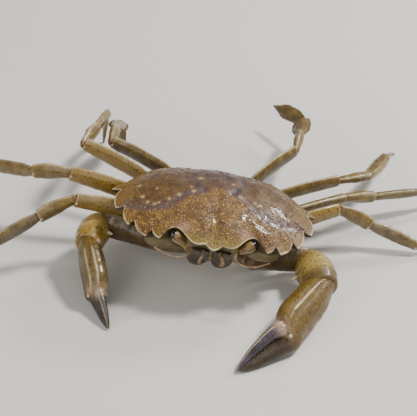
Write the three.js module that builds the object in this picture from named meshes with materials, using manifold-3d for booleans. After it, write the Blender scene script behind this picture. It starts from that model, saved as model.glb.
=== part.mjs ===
// Shore crab (Carcinus maenas), a still model at life size, standing on its feet and claws.
// Millimetres, +Z up. The crab faces -Y, and +X is its own left side.
//
// Shell plates and limb articles are closed skins through rings of points. Each article of a
// limb begins with a rounded knuckle centred on its joint, and the article before it ends a
// thin gap short of that knuckle, so that neighbours never overlap.

import * as THREE from 'three';
import { mergeVertices } from 'three/addons/utils/BufferGeometryUtils.js';
import Module from 'manifold-3d';

const wasm = await Module();
wasm.setup();

// ---------------------------------------------------------------- driving dimensions

const GAP = 0.3; // clearance between neighbouring plates and articles

// Carapace, in the body's own frame: Z = 0 is the underside of the breastplate.
const APEX_HEIGHT = 21.6; // top of the dome
const DOME_POWER = 2.2; // how flat the top of the dome is
const RIM_THICKNESS = 0.8; // free edge of the carapace
const DECK_HEIGHT = 10.3; // flat underside of the carapace
const DECK_FRACTION = 0.7; // the deck reaches this far out to the margin
const CARAPACE_RINGS = [0.28, 0.5, 0.68, 0.82, 0.92, 1];
const SMOOTH_PLAN = { half: 28.5, front: -20.2, back: 25.5, power: 2.25 }; // plan inside the teeth
const TOOTH_POWER = 7; // how close to the margin the teeth begin
const TOOTH_TIPS = { half: 31, front: -22.9, back: 26.6 }; // plan round the tips of the teeth
const TOOTH_LIE = 0.75; // how closely the teeth lie on the dome

// Corners of the left half of the margin from the front lobe to the back, in order round
// the shell: place, bulge of the edge that leads to the next corner, and steps along it.
const MARGIN = [
  { at: [0, -22.0, 10.5], bulge: 0.25, steps: 1 }, // middle lobe of the front
  { at: [2.5, -20.7, 10.9], bulge: 1.0, steps: 3 }, // side lobe of the front
  { at: [7.9, -19.6, 11.2], bulge: -3.0, steps: 5 }, // orbit
  { at: [15.8, -19.8, 11.0], bulge: 0.5, steps: 2 }, // first tooth
  { at: [18.3, -17.0, 11.6], bulge: 0, steps: 1 },
  { at: [19.9, -19.0, 11.2], bulge: 1.0, steps: 2 }, // second tooth
  { at: [23.5, -13.5, 12.2], bulge: 0, steps: 1 },
  { at: [25.1, -15.4, 12.0], bulge: 1.0, steps: 2 }, // third tooth
  { at: [26.7, -8.2, 13.0], bulge: 0, steps: 1 },
  { at: [29.4, -8.7, 13.2], bulge: 1.1, steps: 2 }, // fourth tooth
  { at: [28.4, 0.3, 13.8], bulge: 0, steps: 1 },
  { at: [31.2, 1.1, 14.0], bulge: 0.3, steps: 1 }, // fifth tooth, the widest point
  { at: [27.3, 5.0, 13.3], bulge: 0.35, steps: 3 }, // side of the back
  { at: [19.5, 15.8, 11.6], bulge: 0.35, steps: 2 },
  { at: [11.5, 24.6, 9.6], bulge: 0.3, steps: 2 }, // hind edge
  { at: [0, 26.4, 9.0], bulge: 0, steps: 0 },
];

// Soft swellings of the carapace: centre, spread and height.
const REGIONS = [
  { x: 7.5, y: -9, sx: 5, sy: 5, height: 0.5 }, // stomach, each side
  { x: 0, y: 9.5, sx: 5, sy: 4.5, height: 0.5 }, // heart
  { x: 16, y: 4, sx: 7, sy: 8, height: 0.6 }, // gills, each side
  { x: 9.5, y: 1.5, sx: 2.2, sy: 5, height: -0.5 }, // groove beside the heart
];

// Underbody: half width, front and back of the plan at each height.
const UNDERBODY_LEVELS = [
  { z: 10.0, half: 19.5, front: -17.0, back: 20 },
  { z: 8.4, half: 16.5, front: -16.0, back: 19.5 },
  { z: 6.5, half: 13.5, front: -14.6, back: 18.5 },
  { z: 4.0, half: 12, front: -12.8, back: 17 },
  { z: 1.5, half: 10.5, front: -11.0, back: 15 },
  { z: 0, half: 8.5, front: -8, back: 12 },
];
const PLAN_POWER = 2.3; // roundness of the underbody's plan
const UNDERBODY_SIDES = 28;

// Stance of the body over the floor.
const BODY_PITCH = 9; // nose up, in degrees
const BODY_ROLL = 6; // left side down, in degrees
const BODY_LIFT = 8; // breastplate above the floor

// Walking legs: lengths of merus, carpus, propodus and dactyl, and the hip on the left side.
const LEG_PAIRS = {
  2: { lengths: [23.7, 12, 17, 18], coxa: [10, 2.5, 4], hip: [19.2, 1.7, 6.7], girth: 1 },
  3: { lengths: [25.6, 12.5, 18.5, 19.5], coxa: [10, 7, 4.5], hip: [19.8, 9.0, 7.9], girth: 1 },
  4: { lengths: [25.7, 12, 17, 18], coxa: [10.5, 11.5, 5.5], hip: [18.3, 17.4, 9.6], girth: 0.93 },
  5: { lengths: [23.2, 10.5, 13.5, 14.5], coxa: [7, 15, 5.5], hip: [11.8, 24.2, 9.4], girth: 0.88 },
};

// Pose of each leg in degrees: azimuth (0 to the left, 90 to the back) and elevation of each
// article, and how far their upper edges lean. A last elevation of null lets the dactyl slope
// down until its tip is on the floor.
const LEG_POSES = {
  left_2: { azimuth: [25, 2, -8, 12], elevation: [6, -29, -21, null], lean: 10 },
  left_3: { azimuth: [25, 33, 20, 28], elevation: [2, -18, -5, null], lean: 35 },
  left_4: { azimuth: [25, 30, 64, 73], elevation: [2, -9, -8, null], lean: 15 },
  left_5: { azimuth: [46, 79, 82, 131], elevation: [9, -3, -12, -8], lean: 0 }, // held up
  right_2: { azimuth: [188, 203, 195, 188], elevation: [16.2, -19, -31, null], lean: -5 },
  right_3: { azimuth: [174, 161, 149, 156], elevation: [15, -14, -16, null], lean: 0 },
  right_4: { azimuth: [157, 75, 80, 105], elevation: [15, -8, -17, null], lean: 0 },
  right_5: { azimuth: [161, 85, 85, 95], elevation: [18, -12, -25, null], lean: 0 },
};

const TIP_RADIUS = 0.45; // end of a dactyl
const TIP_SINK = 0.16; // how far a resting tip is cut off by the floor, so that it has a flat

// Half heights and half widths of a leg's articles, for a girth of 1.
const LEG_ARTICLES = [
  { name: 'merus', knuckle: [1.9, 1.5], body: [3.05, 1.5], end: [2.5, 1.6], bow: 0.5 },
  { name: 'carpus', knuckle: [1.7, 1.4], neck: 0.8, body: [2.6, 1.9], end: [2.3, 1.8], bow: 0.4 },
  { name: 'propodus', knuckle: [1.5, 1.3], body: [2.35, 1.4], end: [1.65, 1.2], bow: 0.1 },
  { name: 'dactyl', knuckle: [1.1, 0.95], body: [1.3, 0.85], end: [TIP_RADIUS, TIP_RADIUS], bow: 0.9 },
];
// The last pair are paddles: their last two articles are broad, flat and turned on edge.
const PADDLE = {
  propodus: { knuckle: [1.6, 1.2], body: [3.0, 1.1], end: [2.3, 1.0], bow: 0, roll: 75 },
  dactyl: { knuckle: [1.3, 0.8], body: [2.5, 0.75], end: [TIP_RADIUS, TIP_RADIUS], bow: 0, roll: 40 },
};

// Claws: hip, lengths of merus, carpus, palm and fingers, girth of the wrist, half height and
// half width of the palm and of the fingers together, and the hand's roll about its own line.
// The left claw is the stronger one.
const CLAWS = {
  left: {
    side: 1, hip: [13.5, -10.5, 2.8], lengths: [19, 14, 23, 18], girth: 1.06, palm: [6.1, 4.3],
    fingers: [6.1, 4.3], azimuth: [23, -74, -122, -140], elevation: [-12, 3, -6, -13], roll: 40,
  },
  right: {
    side: -1, hip: [16.4, -7.9, 3.4], lengths: [20.8, 12.2, 17, 11.6], girth: 0.88, palm: [5.2, 3.7],
    fingers: [4.4, 2.8], azimuth: [146, 257, -75, -68], elevation: [-7, 3.7, -26.5, -20.5], roll: -12,
  },
};
const CLAW_COXA = [7.5, -5.5, 2.6];

const LEG_SIDES = 8;
const CLAW_SIDES = 12;
const FEELER_SIDES = 6;

// ---------------------------------------------------------------- materials

const finish = (color, roughness) => new THREE.MeshStandardMaterial({ color, roughness, metalness: 0 });
const SHELL = finish(0x7a5a2a, 0.38);
const UNDERSHELL = finish(0xa89a5c, 0.5);
const LEG_SHELL = finish(0x8a7434, 0.42);
const CLAW_SHELL = finish(0x937235, 0.38);
const FINGER_SHELL = finish(0x4a4150, 0.32);
const EYE_SHELL = finish(0x1d1612, 0.15);
const FEELER_SHELL = finish(0xb39a6a, 0.5);

// ---------------------------------------------------------------- closed skins

/** A closed geometry through rings of equal length, capped by a point at each end. */
function closedSkin(rings) {
  const count = rings[0].length;
  const middle = (ring) => ring.reduce((sum, p) => sum.add(p), new THREE.Vector3()).divideScalar(count);
  const points = [...rings.flat(), middle(rings[0]), middle(rings.at(-1))];
  const first = points.length - 2;
  const last = points.length - 1;
  const index = [];
  for (let j = 0; j < count; j++) {
    const next = (j + 1) % count;
    index.push(first, next, j);
    for (let k = 0; k < rings.length - 1; k++) {
      const a = k * count + j;
      const b = k * count + next;
      index.push(a, b, b + count, a, b + count, a + count);
    }
    const base = (rings.length - 1) * count;
    index.push(last, base + j, base + next);
  }
  const geometry = new THREE.BufferGeometry();
  geometry.setAttribute('position', new THREE.Float32BufferAttribute(points.flatMap((p) => p.toArray()), 3));
  geometry.setIndex(signedVolume(points, index) < 0 ? turned(index) : index);
  return geometry;
}

/** Six times the volume inside the triangles, negative when they face inwards. */
function signedVolume(points, index) {
  let sum = 0;
  for (let i = 0; i < index.length; i += 3) {
    const [a, b, c] = [points[index[i]], points[index[i + 1]], points[index[i + 2]]];
    sum += a.dot(new THREE.Vector3().crossVectors(b, c));
  }
  return sum;
}

const turned = (index) => index.map((_, i) => index[i - (i % 3) + [0, 2, 1][i % 3]]);

/** The manifold solid of a geometry. */
function solidOf(geometry) {
  const bare = geometry.clone();
  bare.deleteAttribute('normal');
  bare.deleteAttribute('uv');
  const merged = mergeVertices(bare, 1e-4);
  return new wasm.Manifold(new wasm.Mesh({
    numProp: 3,
    vertProperties: new Float32Array(merged.attributes.position.array),
    triVerts: new Uint32Array(merged.index.array),
  }));
}

/** The three.js geometry of a manifold solid. */
function geometryOf(solid) {
  const mesh = solid.getMesh();
  const geometry = new THREE.BufferGeometry();
  geometry.setAttribute('position', new THREE.BufferAttribute(new Float32Array(mesh.vertProperties), 3));
  geometry.setIndex(new THREE.BufferAttribute(new Uint32Array(mesh.triVerts), 1));
  return geometry;
}

const join = (...parts) => geometryOf(parts.map(solidOf).reduce((sum, part) => sum.add(part)));
const cut = (body, ...tools) => (
  geometryOf(tools.map(solidOf).reduce((rest, tool) => rest.subtract(tool), solidOf(body)))
);

// ---------------------------------------------------------------- frames

const radians = THREE.MathUtils.degToRad;

/** Unit vector of an azimuth and elevation in degrees. */
function direction(azimuth, elevation) {
  const [a, e] = [radians(azimuth), radians(elevation)];
  return new THREE.Vector3(Math.cos(a) * Math.cos(e), Math.sin(a) * Math.cos(e), Math.sin(e));
}

/** Frame at a joint: local X along the article, local Z its upper edge, rolled about X. */
function articleFrame(origin, along, roll) {
  const side = new THREE.Vector3().crossVectors(along, new THREE.Vector3(0, 0, 1)).normalize();
  const upper = new THREE.Vector3().crossVectors(side, along);
  const edge = upper.multiplyScalar(Math.cos(radians(roll))).addScaledVector(side, Math.sin(radians(roll)));
  const across = new THREE.Vector3().crossVectors(edge, along);
  return new THREE.Matrix4().makeBasis(along, across, edge).setPosition(origin);
}

const bodyFrame = new THREE.Matrix4()
  .makeRotationFromEuler(new THREE.Euler(-radians(BODY_PITCH), radians(BODY_ROLL), 0, 'XYZ'))
  .setPosition(0, 0, BODY_LIFT);

/** A point of the body's left side, or its mirror image on the right, over the floor. */
const onBody = ([x, y, z], side) => new THREE.Vector3(side * x, y, z).applyMatrix4(bodyFrame);

/** A named mesh whose shape, given over the floor, is kept in its own frame. */
function placed(name, geometry, frame, material) {
  const mesh = new THREE.Mesh(geometry.applyMatrix4(frame.clone().invert()), material);
  mesh.name = name;
  mesh.applyMatrix4(frame);
  return mesh;
}

// ---------------------------------------------------------------- tubes

/** An ellipse tube. Each station has its place s, half height h, half width w and lift z. */
function tube(stations, sides, frame, grow = 0) {
  const rings = stations.map(({ s, h, w, z = 0 }) => Array.from({ length: sides }, (_, j) => {
    const turn = (2 * Math.PI * j) / sides;
    const point = new THREE.Vector3(s, (w + grow) * Math.cos(turn), z + (h + grow) * Math.sin(turn));
    return point.applyMatrix4(frame);
  }));
  return closedSkin(rings);
}

/** Stations of the rounded knuckle that starts an article, from its back to its widest ring. */
function knuckle([high, wide], { z = 0, grow = 0 } = {}) {
  return [35, 90].map((angle) => {
    const turn = radians(angle);
    return { s: -(high + grow) * Math.cos(turn), h: high * Math.sin(turn), w: wide * Math.sin(turn), z };
  });
}

// ---------------------------------------------------------------- trunk

/** The whole margin of the carapace, as points round the shell with their places. */
function marginLoop() {
  const half = [];
  for (let i = 0; i < MARGIN.length - 1; i++) {
    const from = new THREE.Vector3(...MARGIN[i].at);
    const to = new THREE.Vector3(...MARGIN[i + 1].at);
    const outward = new THREE.Vector3(to.y - from.y, from.x - to.x, 0).normalize();
    for (let k = 0; k < MARGIN[i].steps; k++) {
      const t = k / MARGIN[i].steps;
      const p = from.clone().lerp(to, t).addScaledVector(outward, MARGIN[i].bulge * Math.sin(Math.PI * t));
      half.push(p);
    }
  }
  const back = new THREE.Vector3(...MARGIN.at(-1).at);
  const mirrored = half.slice(1).reverse().map((p) => new THREE.Vector3(-p.x, p.y, p.z));
  return [...half, back, ...mirrored];
}

/** Height of the swellings and grooves of the dome at a point. */
function relief(x, y) {
  const swell = (r, cx) => r.height * Math.exp(-(((x - cx) / r.sx) ** 2) - ((y - r.y) / r.sy) ** 2);
  return REGIONS.reduce((sum, r) => sum + swell(r, r.x) + (r.x > 0 ? swell(r, -r.x) : 0), 0);
}

/** Fraction of a margin point's reach at which the smooth plan inside the teeth lies. */
function smoothPlan({ x, y }) {
  const { half, front, back, power } = SMOOTH_PLAN;
  return ((Math.abs(x) / half) ** power + Math.abs(y / (y < 0 ? front : back)) ** power) ** (-1 / power);
}

/** Plan of the carapace part of the way out to a margin point: smooth inside, toothed at the edge. */
function planPoint(m, t, grow) {
  const reach = t * THREE.MathUtils.lerp(smoothPlan(m), 1, t ** TOOTH_POWER) + grow / Math.hypot(m.x, m.y);
  return [m.x * reach, m.y * reach];
}

/** How far down the dome a point of the shell lies, so that the teeth lie on it with their notches. */
function domeShare(m, t) {
  const [x, y] = planPoint(m, t, 0);
  const { half, front, back } = TOOTH_TIPS;
  const power = SMOOTH_PLAN.power;
  const [wide, long] = [Math.abs(x) / half, Math.abs(y / (y < 0 ? front : back))];
  const around = (wide ** power + long ** power) ** (1 / power);
  const lie = TOOTH_LIE * THREE.MathUtils.smoothstep(t, 0.3, 0.8);
  return Math.min(1, t + lie * (around - t));
}

/** The carapace: a low dome inside its toothed margin, with a thin free edge and a flat deck. */
function carapaceGeometry(grow = 0) {
  const margin = marginLoop();
  const domeHeight = (m, t) => m.z + (APEX_HEIGHT - m.z) * (1 - domeShare(m, t) ** DOME_POWER);
  const upper = (t) => margin.map((m) => {
    const [x, y] = planPoint(m, t, grow);
    return new THREE.Vector3(x, y, domeHeight(m, t) + relief(x, y) * (1 - t ** 6) + grow);
  });
  const lower = (t) => margin.map((m) => {
    const [x, y] = planPoint(m, t, grow);
    const edge = domeHeight(m, 1) - RIM_THICKNESS;
    const reach = Math.max(0, (t - DECK_FRACTION) / (1 - DECK_FRACTION));
    const power = edge > DECK_HEIGHT ? 1.2 : 6;
    return new THREE.Vector3(x, y, DECK_HEIGHT + (edge - DECK_HEIGHT) * reach ** power - grow);
  });
  return closedSkin([...CARAPACE_RINGS.map(upper), ...[1, 0.9, DECK_FRACTION].map(lower)]);
}

/** The underbody: breastplate, mouth frame and flanks, a rounded block under the carapace. */
function underbodyGeometry(grow = 0) {
  const rings = UNDERBODY_LEVELS.map(({ z, half, front, back }, level) => {
    const middle = (front + back) / 2;
    const reach = (back - front) / 2;
    const lift = level === 0 ? grow : level === UNDERBODY_LEVELS.length - 1 ? -grow : 0;
    return Array.from({ length: UNDERBODY_SIDES }, (_, j) => {
      const turn = (2 * Math.PI * j) / UNDERBODY_SIDES;
      const round = (v) => Math.sign(v) * Math.abs(v) ** (2 / PLAN_POWER);
      return new THREE.Vector3(
        (half + grow) * round(Math.cos(turn)),
        middle + (reach + grow) * round(Math.sin(turn)),
        z + lift,
      );
    });
  });
  return closedSkin(rings);
}

/** The tail flap: a tapering band that leaves the hind edge and folds forward under the breastplate. */
function abdomenGeometry() {
  const path = [
    { y: 22.2, z: 8.6, half: 6.5 },
    { y: 21.2, z: 6.0, half: 6.4 },
    { y: 19.2, z: 3.0, half: 6.2 },
    { y: 16.0, z: 0.2, half: 5.8 },
    { y: 12.0, z: -1.3, half: 5.2 },
    { y: 3.0, z: -1.4, half: 4 },
    { y: -6.0, z: -1.4, half: 2 },
  ];
  const thick = 0.8;
  const rings = path.map((p, i) => {
    const before = path[Math.max(0, i - 1)];
    const after = path[Math.min(path.length - 1, i + 1)];
    const along = new THREE.Vector2(after.y - before.y, after.z - before.z).normalize();
    return Array.from({ length: 10 }, (_, j) => {
      const turn = (2 * Math.PI * j) / 10;
      const off = thick * Math.sin(turn);
      return new THREE.Vector3(p.half * Math.cos(turn), p.y - along.y * off, p.z + along.x * off);
    });
  });
  return closedSkin(rings);
}

/** An outer mouth plate, hung under the front beside the middle line. */
function mouthPlateGeometry(side) {
  const path = [
    { y: -17.7, z: 8.2, half: 3.1 },
    { y: -16.7, z: 5.8, half: 3.2 },
    { y: -15.0, z: 3.1, half: 2.9 },
    { y: -13.0, z: 0.9, half: 2.0 },
  ];
  const rings = path.map((p) => Array.from({ length: 8 }, (_, j) => {
    const turn = (2 * Math.PI * j) / 8;
    const off = 0.75 * Math.sin(turn);
    return new THREE.Vector3(side * 3.6 + p.half * Math.cos(turn), p.y + off * 0.85, p.z + off * 0.5);
  }));
  return closedSkin(rings);
}

// ---------------------------------------------------------------- eyes and feelers

/** A stalked eye that lies out along the orbit. */
function eyeGeometry(side, grow = 0) {
  const base = new THREE.Vector3(side * 8.4, -17.7, 9.7);
  const tip = new THREE.Vector3(side * 12.8, -17.4, 12.8);
  const along = tip.clone().sub(base);
  const length = along.length();
  const frame = articleFrame(base, along.normalize(), 0);
  const stations = [
    { s: -grow, h: 1.2, w: 1.2 },
    { s: 0.25 * length, h: 1.3, w: 1.3 },
    { s: 0.5 * length, h: 1.65, w: 1.6 },
    { s: 0.7 * length, h: 1.8, w: 1.7 },
    { s: 0.9 * length, h: 1.35, w: 1.3 },
    { s: length + grow, h: 0.5, w: 0.5 },
  ];
  return tube(stations, 10, frame, grow);
}

/** A feeler: a stout base and a lash that sweeps out below the eye. */
function feelerGeometry(side) {
  const route = new THREE.CatmullRomCurve3([
    new THREE.Vector3(side * 6.6, -18.9, 8.9),
    new THREE.Vector3(side * 7.2, -20.8, 7.9),
    new THREE.Vector3(side * 9.6, -22.3, 7.4),
    new THREE.Vector3(side * 13.2, -22.6, 7.9),
    new THREE.Vector3(side * 17.0, -21.6, 9.2),
  ]);
  const steps = 12;
  const frames = route.computeFrenetFrames(steps);
  const rings = Array.from({ length: steps + 1 }, (_, i) => {
    const t = i / steps;
    const centre = route.getPointAt(t);
    const radius = 0.32 + 0.65 * Math.max(0, 1 - t / 0.3);
    return Array.from({ length: FEELER_SIDES }, (_, j) => {
      const turn = (2 * Math.PI * j) / FEELER_SIDES;
      return centre.clone()
        .addScaledVector(frames.normals[i], radius * Math.cos(turn))
        .addScaledVector(frames.binormals[i], radius * Math.sin(turn));
    });
  });
  return closedSkin(rings);
}

// ---------------------------------------------------------------- legs

const floorBlock = new THREE.BoxGeometry(400, 400, 20).translate(0, 0, -10);
const underbodyTool = underbodyGeometry(GAP).applyMatrix4(bodyFrame);
const carapaceTool = carapaceGeometry(GAP).applyMatrix4(bodyFrame);

/** Stations of one article, from its knuckle to the gap before the next knuckle. */
function articleStations(article, girth, length, nextKnuckle) {
  const [high, wide] = article.body.map((v) => v * girth);
  const [endHigh, endWide] = article.end.map((v) => v * girth);
  const end = length - (nextKnuckle ? nextKnuckle * girth + GAP : 0);
  const neck = article.neck ?? 0.95;
  const swell = (t) => Math.sin(Math.PI * t);
  return [
    ...knuckle(article.knuckle.map((v) => v * girth)),
    { s: 0.22 * length, h: neck * high, w: neck * wide, z: article.bow * swell(0.22) },
    { s: 0.55 * length, h: high, w: wide, z: article.bow * swell(0.55) },
    { s: end, h: endHigh, w: endWide, z: article.bow * swell(end / length) },
  ];
}

/** Elevation at which a dactyl that hinges at a height rests its tip on the floor. */
function restingRise(height, length) {
  let rise = 0;
  for (let i = 0; i < 6; i++) {
    const tip = TIP_RADIUS * Math.cos(rise) - TIP_SINK;
    rise = Math.asin(Math.max(-1, (tip - height) / length));
  }
  return THREE.MathUtils.radToDeg(rise);
}

/** One walking leg: base, merus, carpus, propodus and dactyl. */
function leg(sideName, pair) {
  const side = sideName === 'left' ? 1 : -1;
  const { lengths, coxa, hip, girth } = LEG_PAIRS[pair];
  const { azimuth, elevation, lean } = LEG_POSES[`${sideName}_${pair}`];
  const prefix = `leg_${sideName}_${pair}`;
  const meshes = [];
  let joint = onBody(hip, side);

  const root = onBody(coxa, side);
  const along = joint.clone().sub(root);
  const baseLength = along.length() - LEG_ARTICLES[0].knuckle[0] * girth - GAP;
  const baseFrame = articleFrame(root, along.normalize(), 0);
  const baseShape = tube([
    { s: 0, h: 2.5 * girth, w: 2.4 * girth },
    { s: baseLength * 0.6, h: 2.5 * girth, w: 2.2 * girth },
    { s: baseLength, h: 2.0 * girth, w: 1.7 * girth },
  ], LEG_SIDES, baseFrame);
  meshes.push(placed(`${prefix}_base`, cut(baseShape, underbodyTool, carapaceTool), baseFrame, LEG_SHELL));

  LEG_ARTICLES.forEach((plain, i) => {
    const article = pair === 5 && PADDLE[plain.name] ? { name: plain.name, ...PADDLE[plain.name] } : plain;
    const along = direction(azimuth[i], elevation[i] ?? restingRise(joint.z, lengths[i]));
    const frame = articleFrame(joint, along, article.roll ? article.roll * side : lean);
    const next = LEG_ARTICLES[i + 1]?.knuckle[0];
    let shape = tube(articleStations(article, girth, lengths[i], next), LEG_SIDES, frame);
    joint = joint.clone().addScaledVector(along, lengths[i]);
    if (i === 0) shape = cut(shape, carapaceTool);
    if (joint.z < 1) shape = cut(shape, floorBlock);
    meshes.push(placed(`${prefix}_${article.name}`, shape, frame, LEG_SHELL));
  });
  return meshes;
}

// ---------------------------------------------------------------- claws

/** Stations of the arm (merus) of a claw: three-sided and widest towards the wrist. */
const armStations = (length) => [
  ...knuckle([2.9, 2.6]),
  { s: 0.35 * length, h: 3.4, w: 2.9 },
  { s: 0.75 * length, h: 4.1, w: 3.3 },
  { s: length - 1.2, h: 3.7, w: 3.2 },
];

/** Stations of the wrist (carpus): a stout rounded block. */
const wristStations = (length, girth, grow = 0) => [
  ...knuckle([2.7, 2.7], { grow }),
  { s: 0.2 * length, h: 4.7 * girth, w: 4.6 * girth },
  { s: 0.5 * length, h: 4.9 * girth, w: 5.6 * girth },
  { s: 0.8 * length, h: 4.9 * girth, w: 5.4 * girth },
  { s: length + 0.6 + grow, h: 4.3 * girth, w: 4.4 * girth },
];

/** Stations of the palm: deepest in its outer half, with a convex upper edge. */
const palmStations = (length, [high, wide], grow = 0) => [
  ...knuckle([0.6 * high, 0.82 * wide], { grow }),
  { s: 0.16 * length, h: 0.82 * high, w: 0.92 * wide },
  { s: 0.4 * length, h: 0.95 * high, w: wide },
  { s: 0.7 * length, h: high, w: 0.98 * wide, z: 0.03 * high },
  { s: length, h: 0.86 * high, w: 0.8 * wide, z: -0.02 * high },
];

/** Stations of the fixed finger, which runs on from the lower half of the palm. */
const fixedFingerStations = (length, [high, wide]) => [
  { s: -0.3 * length, h: 0.5 * high, w: 0.66 * wide, z: -0.42 * high },
  { s: 0, h: 0.5 * high, w: 0.58 * wide, z: -0.46 * high },
  { s: 0.35 * length, h: 0.38 * high, w: 0.42 * wide, z: -0.4 * high },
  { s: 0.68 * length, h: 0.27 * high, w: 0.3 * wide, z: -0.28 * high },
  { s: 0.94 * length, h: 0.1 * high, w: 0.12 * wide, z: -0.11 * high },
];

/** Stations of the moving finger, hinged on the palm's upper outer corner and hooked at its tip. */
const movingFingerStations = (length, [high, wide], grow = 0) => [
  ...knuckle([0.42 * high, 0.58 * wide], { z: 0.3 * high, grow }),
  { s: 0.2 * length, h: 0.3 * high, w: 0.42 * wide, z: 0.37 * high },
  { s: 0.5 * length, h: 0.24 * high, w: 0.32 * wide, z: 0.3 * high },
  { s: 0.8 * length, h: 0.16 * high, w: 0.21 * wide, z: 0.14 * high },
  { s: length + grow, h: 0.08 * high, w: 0.1 * wide, z: -0.06 * high },
];

/** The short spine on the inner side of a wrist, leaning forwards. */
function wristSpine(frame, length, girth, side) {
  const cone = new THREE.ConeGeometry(1.4, 4.6, 8);
  cone.rotateZ(-Math.PI / 2 - side * radians(76));
  cone.translate(0.56 * length, side * -4.9 * girth, 1.8);
  return cone.applyMatrix4(frame);
}

/** One claw: base, arm, wrist, hand with its fixed finger, and moving finger. */
function claw(sideName) {
  const { side, hip, lengths, girth, palm, fingers, roll, azimuth, elevation } = CLAWS[sideName];
  const prefix = `claw_${sideName}`;
  const joints = [onBody(hip, side)];
  lengths.forEach((length, i) => {
    joints.push(joints[i].clone().addScaledVector(direction(azimuth[i], elevation[i]), length));
  });
  const rolls = [0, 0.5 * roll, roll, roll];
  const frames = rolls.map((turn, i) => (
    articleFrame(joints[i], direction(azimuth[i], elevation[i]), turn)
  ));
  const [armLength, wristLength, palmLength, fingerLength] = lengths;

  const root = onBody(CLAW_COXA, side);
  const along = joints[0].clone().sub(root);
  const baseLength = along.length() - 2.9 - GAP;
  const baseFrame = articleFrame(root, along.normalize(), 0);
  const base = tube([
    { s: 0, h: 2.9, w: 3.2 },
    { s: 0.6 * baseLength, h: 3.0, w: 3.1 },
    { s: baseLength, h: 2.6, w: 2.5 },
  ], CLAW_SIDES, baseFrame);

  const palmTool = tube(palmStations(palmLength, palm, GAP), CLAW_SIDES, frames[2], GAP);
  const wristTool = tube(wristStations(wristLength, girth, GAP), CLAW_SIDES, frames[1], GAP);
  const fingerTool = tube(movingFingerStations(fingerLength, fingers, GAP), CLAW_SIDES, frames[3], GAP);

  const arm = tube(armStations(armLength), CLAW_SIDES, frames[0]);
  const wrist = join(
    tube(wristStations(wristLength, girth), CLAW_SIDES, frames[1]),
    wristSpine(frames[1], wristLength, girth, side),
  );
  const hand = join(
    tube(palmStations(palmLength, palm), CLAW_SIDES, frames[2]),
    tube(fixedFingerStations(fingerLength, fingers), CLAW_SIDES, frames[3]),
  );
  const finger = tube(movingFingerStations(fingerLength, fingers), CLAW_SIDES, frames[3]);

  return [
    placed(`${prefix}_base`, cut(base, underbodyTool), baseFrame, CLAW_SHELL),
    placed(`${prefix}_arm`, cut(arm, wristTool), frames[0], CLAW_SHELL),
    placed(`${prefix}_wrist`, cut(wrist, palmTool), frames[1], CLAW_SHELL),
    placed(`${prefix}_hand`, cut(hand, fingerTool, floorBlock), frames[2], CLAW_SHELL),
    placed(`${prefix}_finger`, cut(finger, floorBlock), frames[3], FINGER_SHELL),
  ];
}

// ---------------------------------------------------------------- the crab

/** The trunk and what it carries on its front, built in the body's own frame. */
function trunk() {
  const body = new THREE.Group();
  const add = (name, geometry, material) => {
    const mesh = new THREE.Mesh(geometry, material);
    mesh.name = name;
    body.add(mesh);
  };
  add('carapace', cut(carapaceGeometry(), eyeGeometry(1, GAP), eyeGeometry(-1, GAP)), SHELL);
  add('underbody', underbodyGeometry(), UNDERSHELL);
  add('abdomen', abdomenGeometry(), UNDERSHELL);
  for (const [sideName, side] of [['left', 1], ['right', -1]]) {
    add(`eye_${sideName}`, eyeGeometry(side), EYE_SHELL);
    add(`antenna_${sideName}`, feelerGeometry(side), FEELER_SHELL);
    add(`mouth_plate_${sideName}`, mouthPlateGeometry(side), UNDERSHELL);
  }
  body.applyMatrix4(bodyFrame);
  return body;
}

const crab = new THREE.Group();
crab.add(trunk());
for (const sideName of ['left', 'right']) {
  crab.add(...claw(sideName));
  for (const pair of [2, 3, 4, 5]) crab.add(...leg(sideName, pair));
}

// The origin is on the floor, below the middle of the whole crab's bounding box.
crab.updateMatrixWorld(true);
const bounds = new THREE.Box3().setFromObject(crab, true);
crab.position.set(-(bounds.min.x + bounds.max.x) / 2, -(bounds.min.y + bounds.max.y) / 2, -bounds.min.z);

export default crab;
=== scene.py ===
"""Dresses the solids of a shore crab (Carcinus maenas): shell, claws, legs, eyes and feelers.

Lengths are in millimetres over the floor, with the crab facing -Y and its left side at +X, and
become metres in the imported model's frame when a mesh is made.
"""

from __future__ import annotations

import json
import logging
import math
from dataclasses import dataclass, field
from enum import Enum
from typing import Callable, NamedTuple, Sequence

import bpy
import numpy as np
from mathutils import Matrix, Vector

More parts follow.
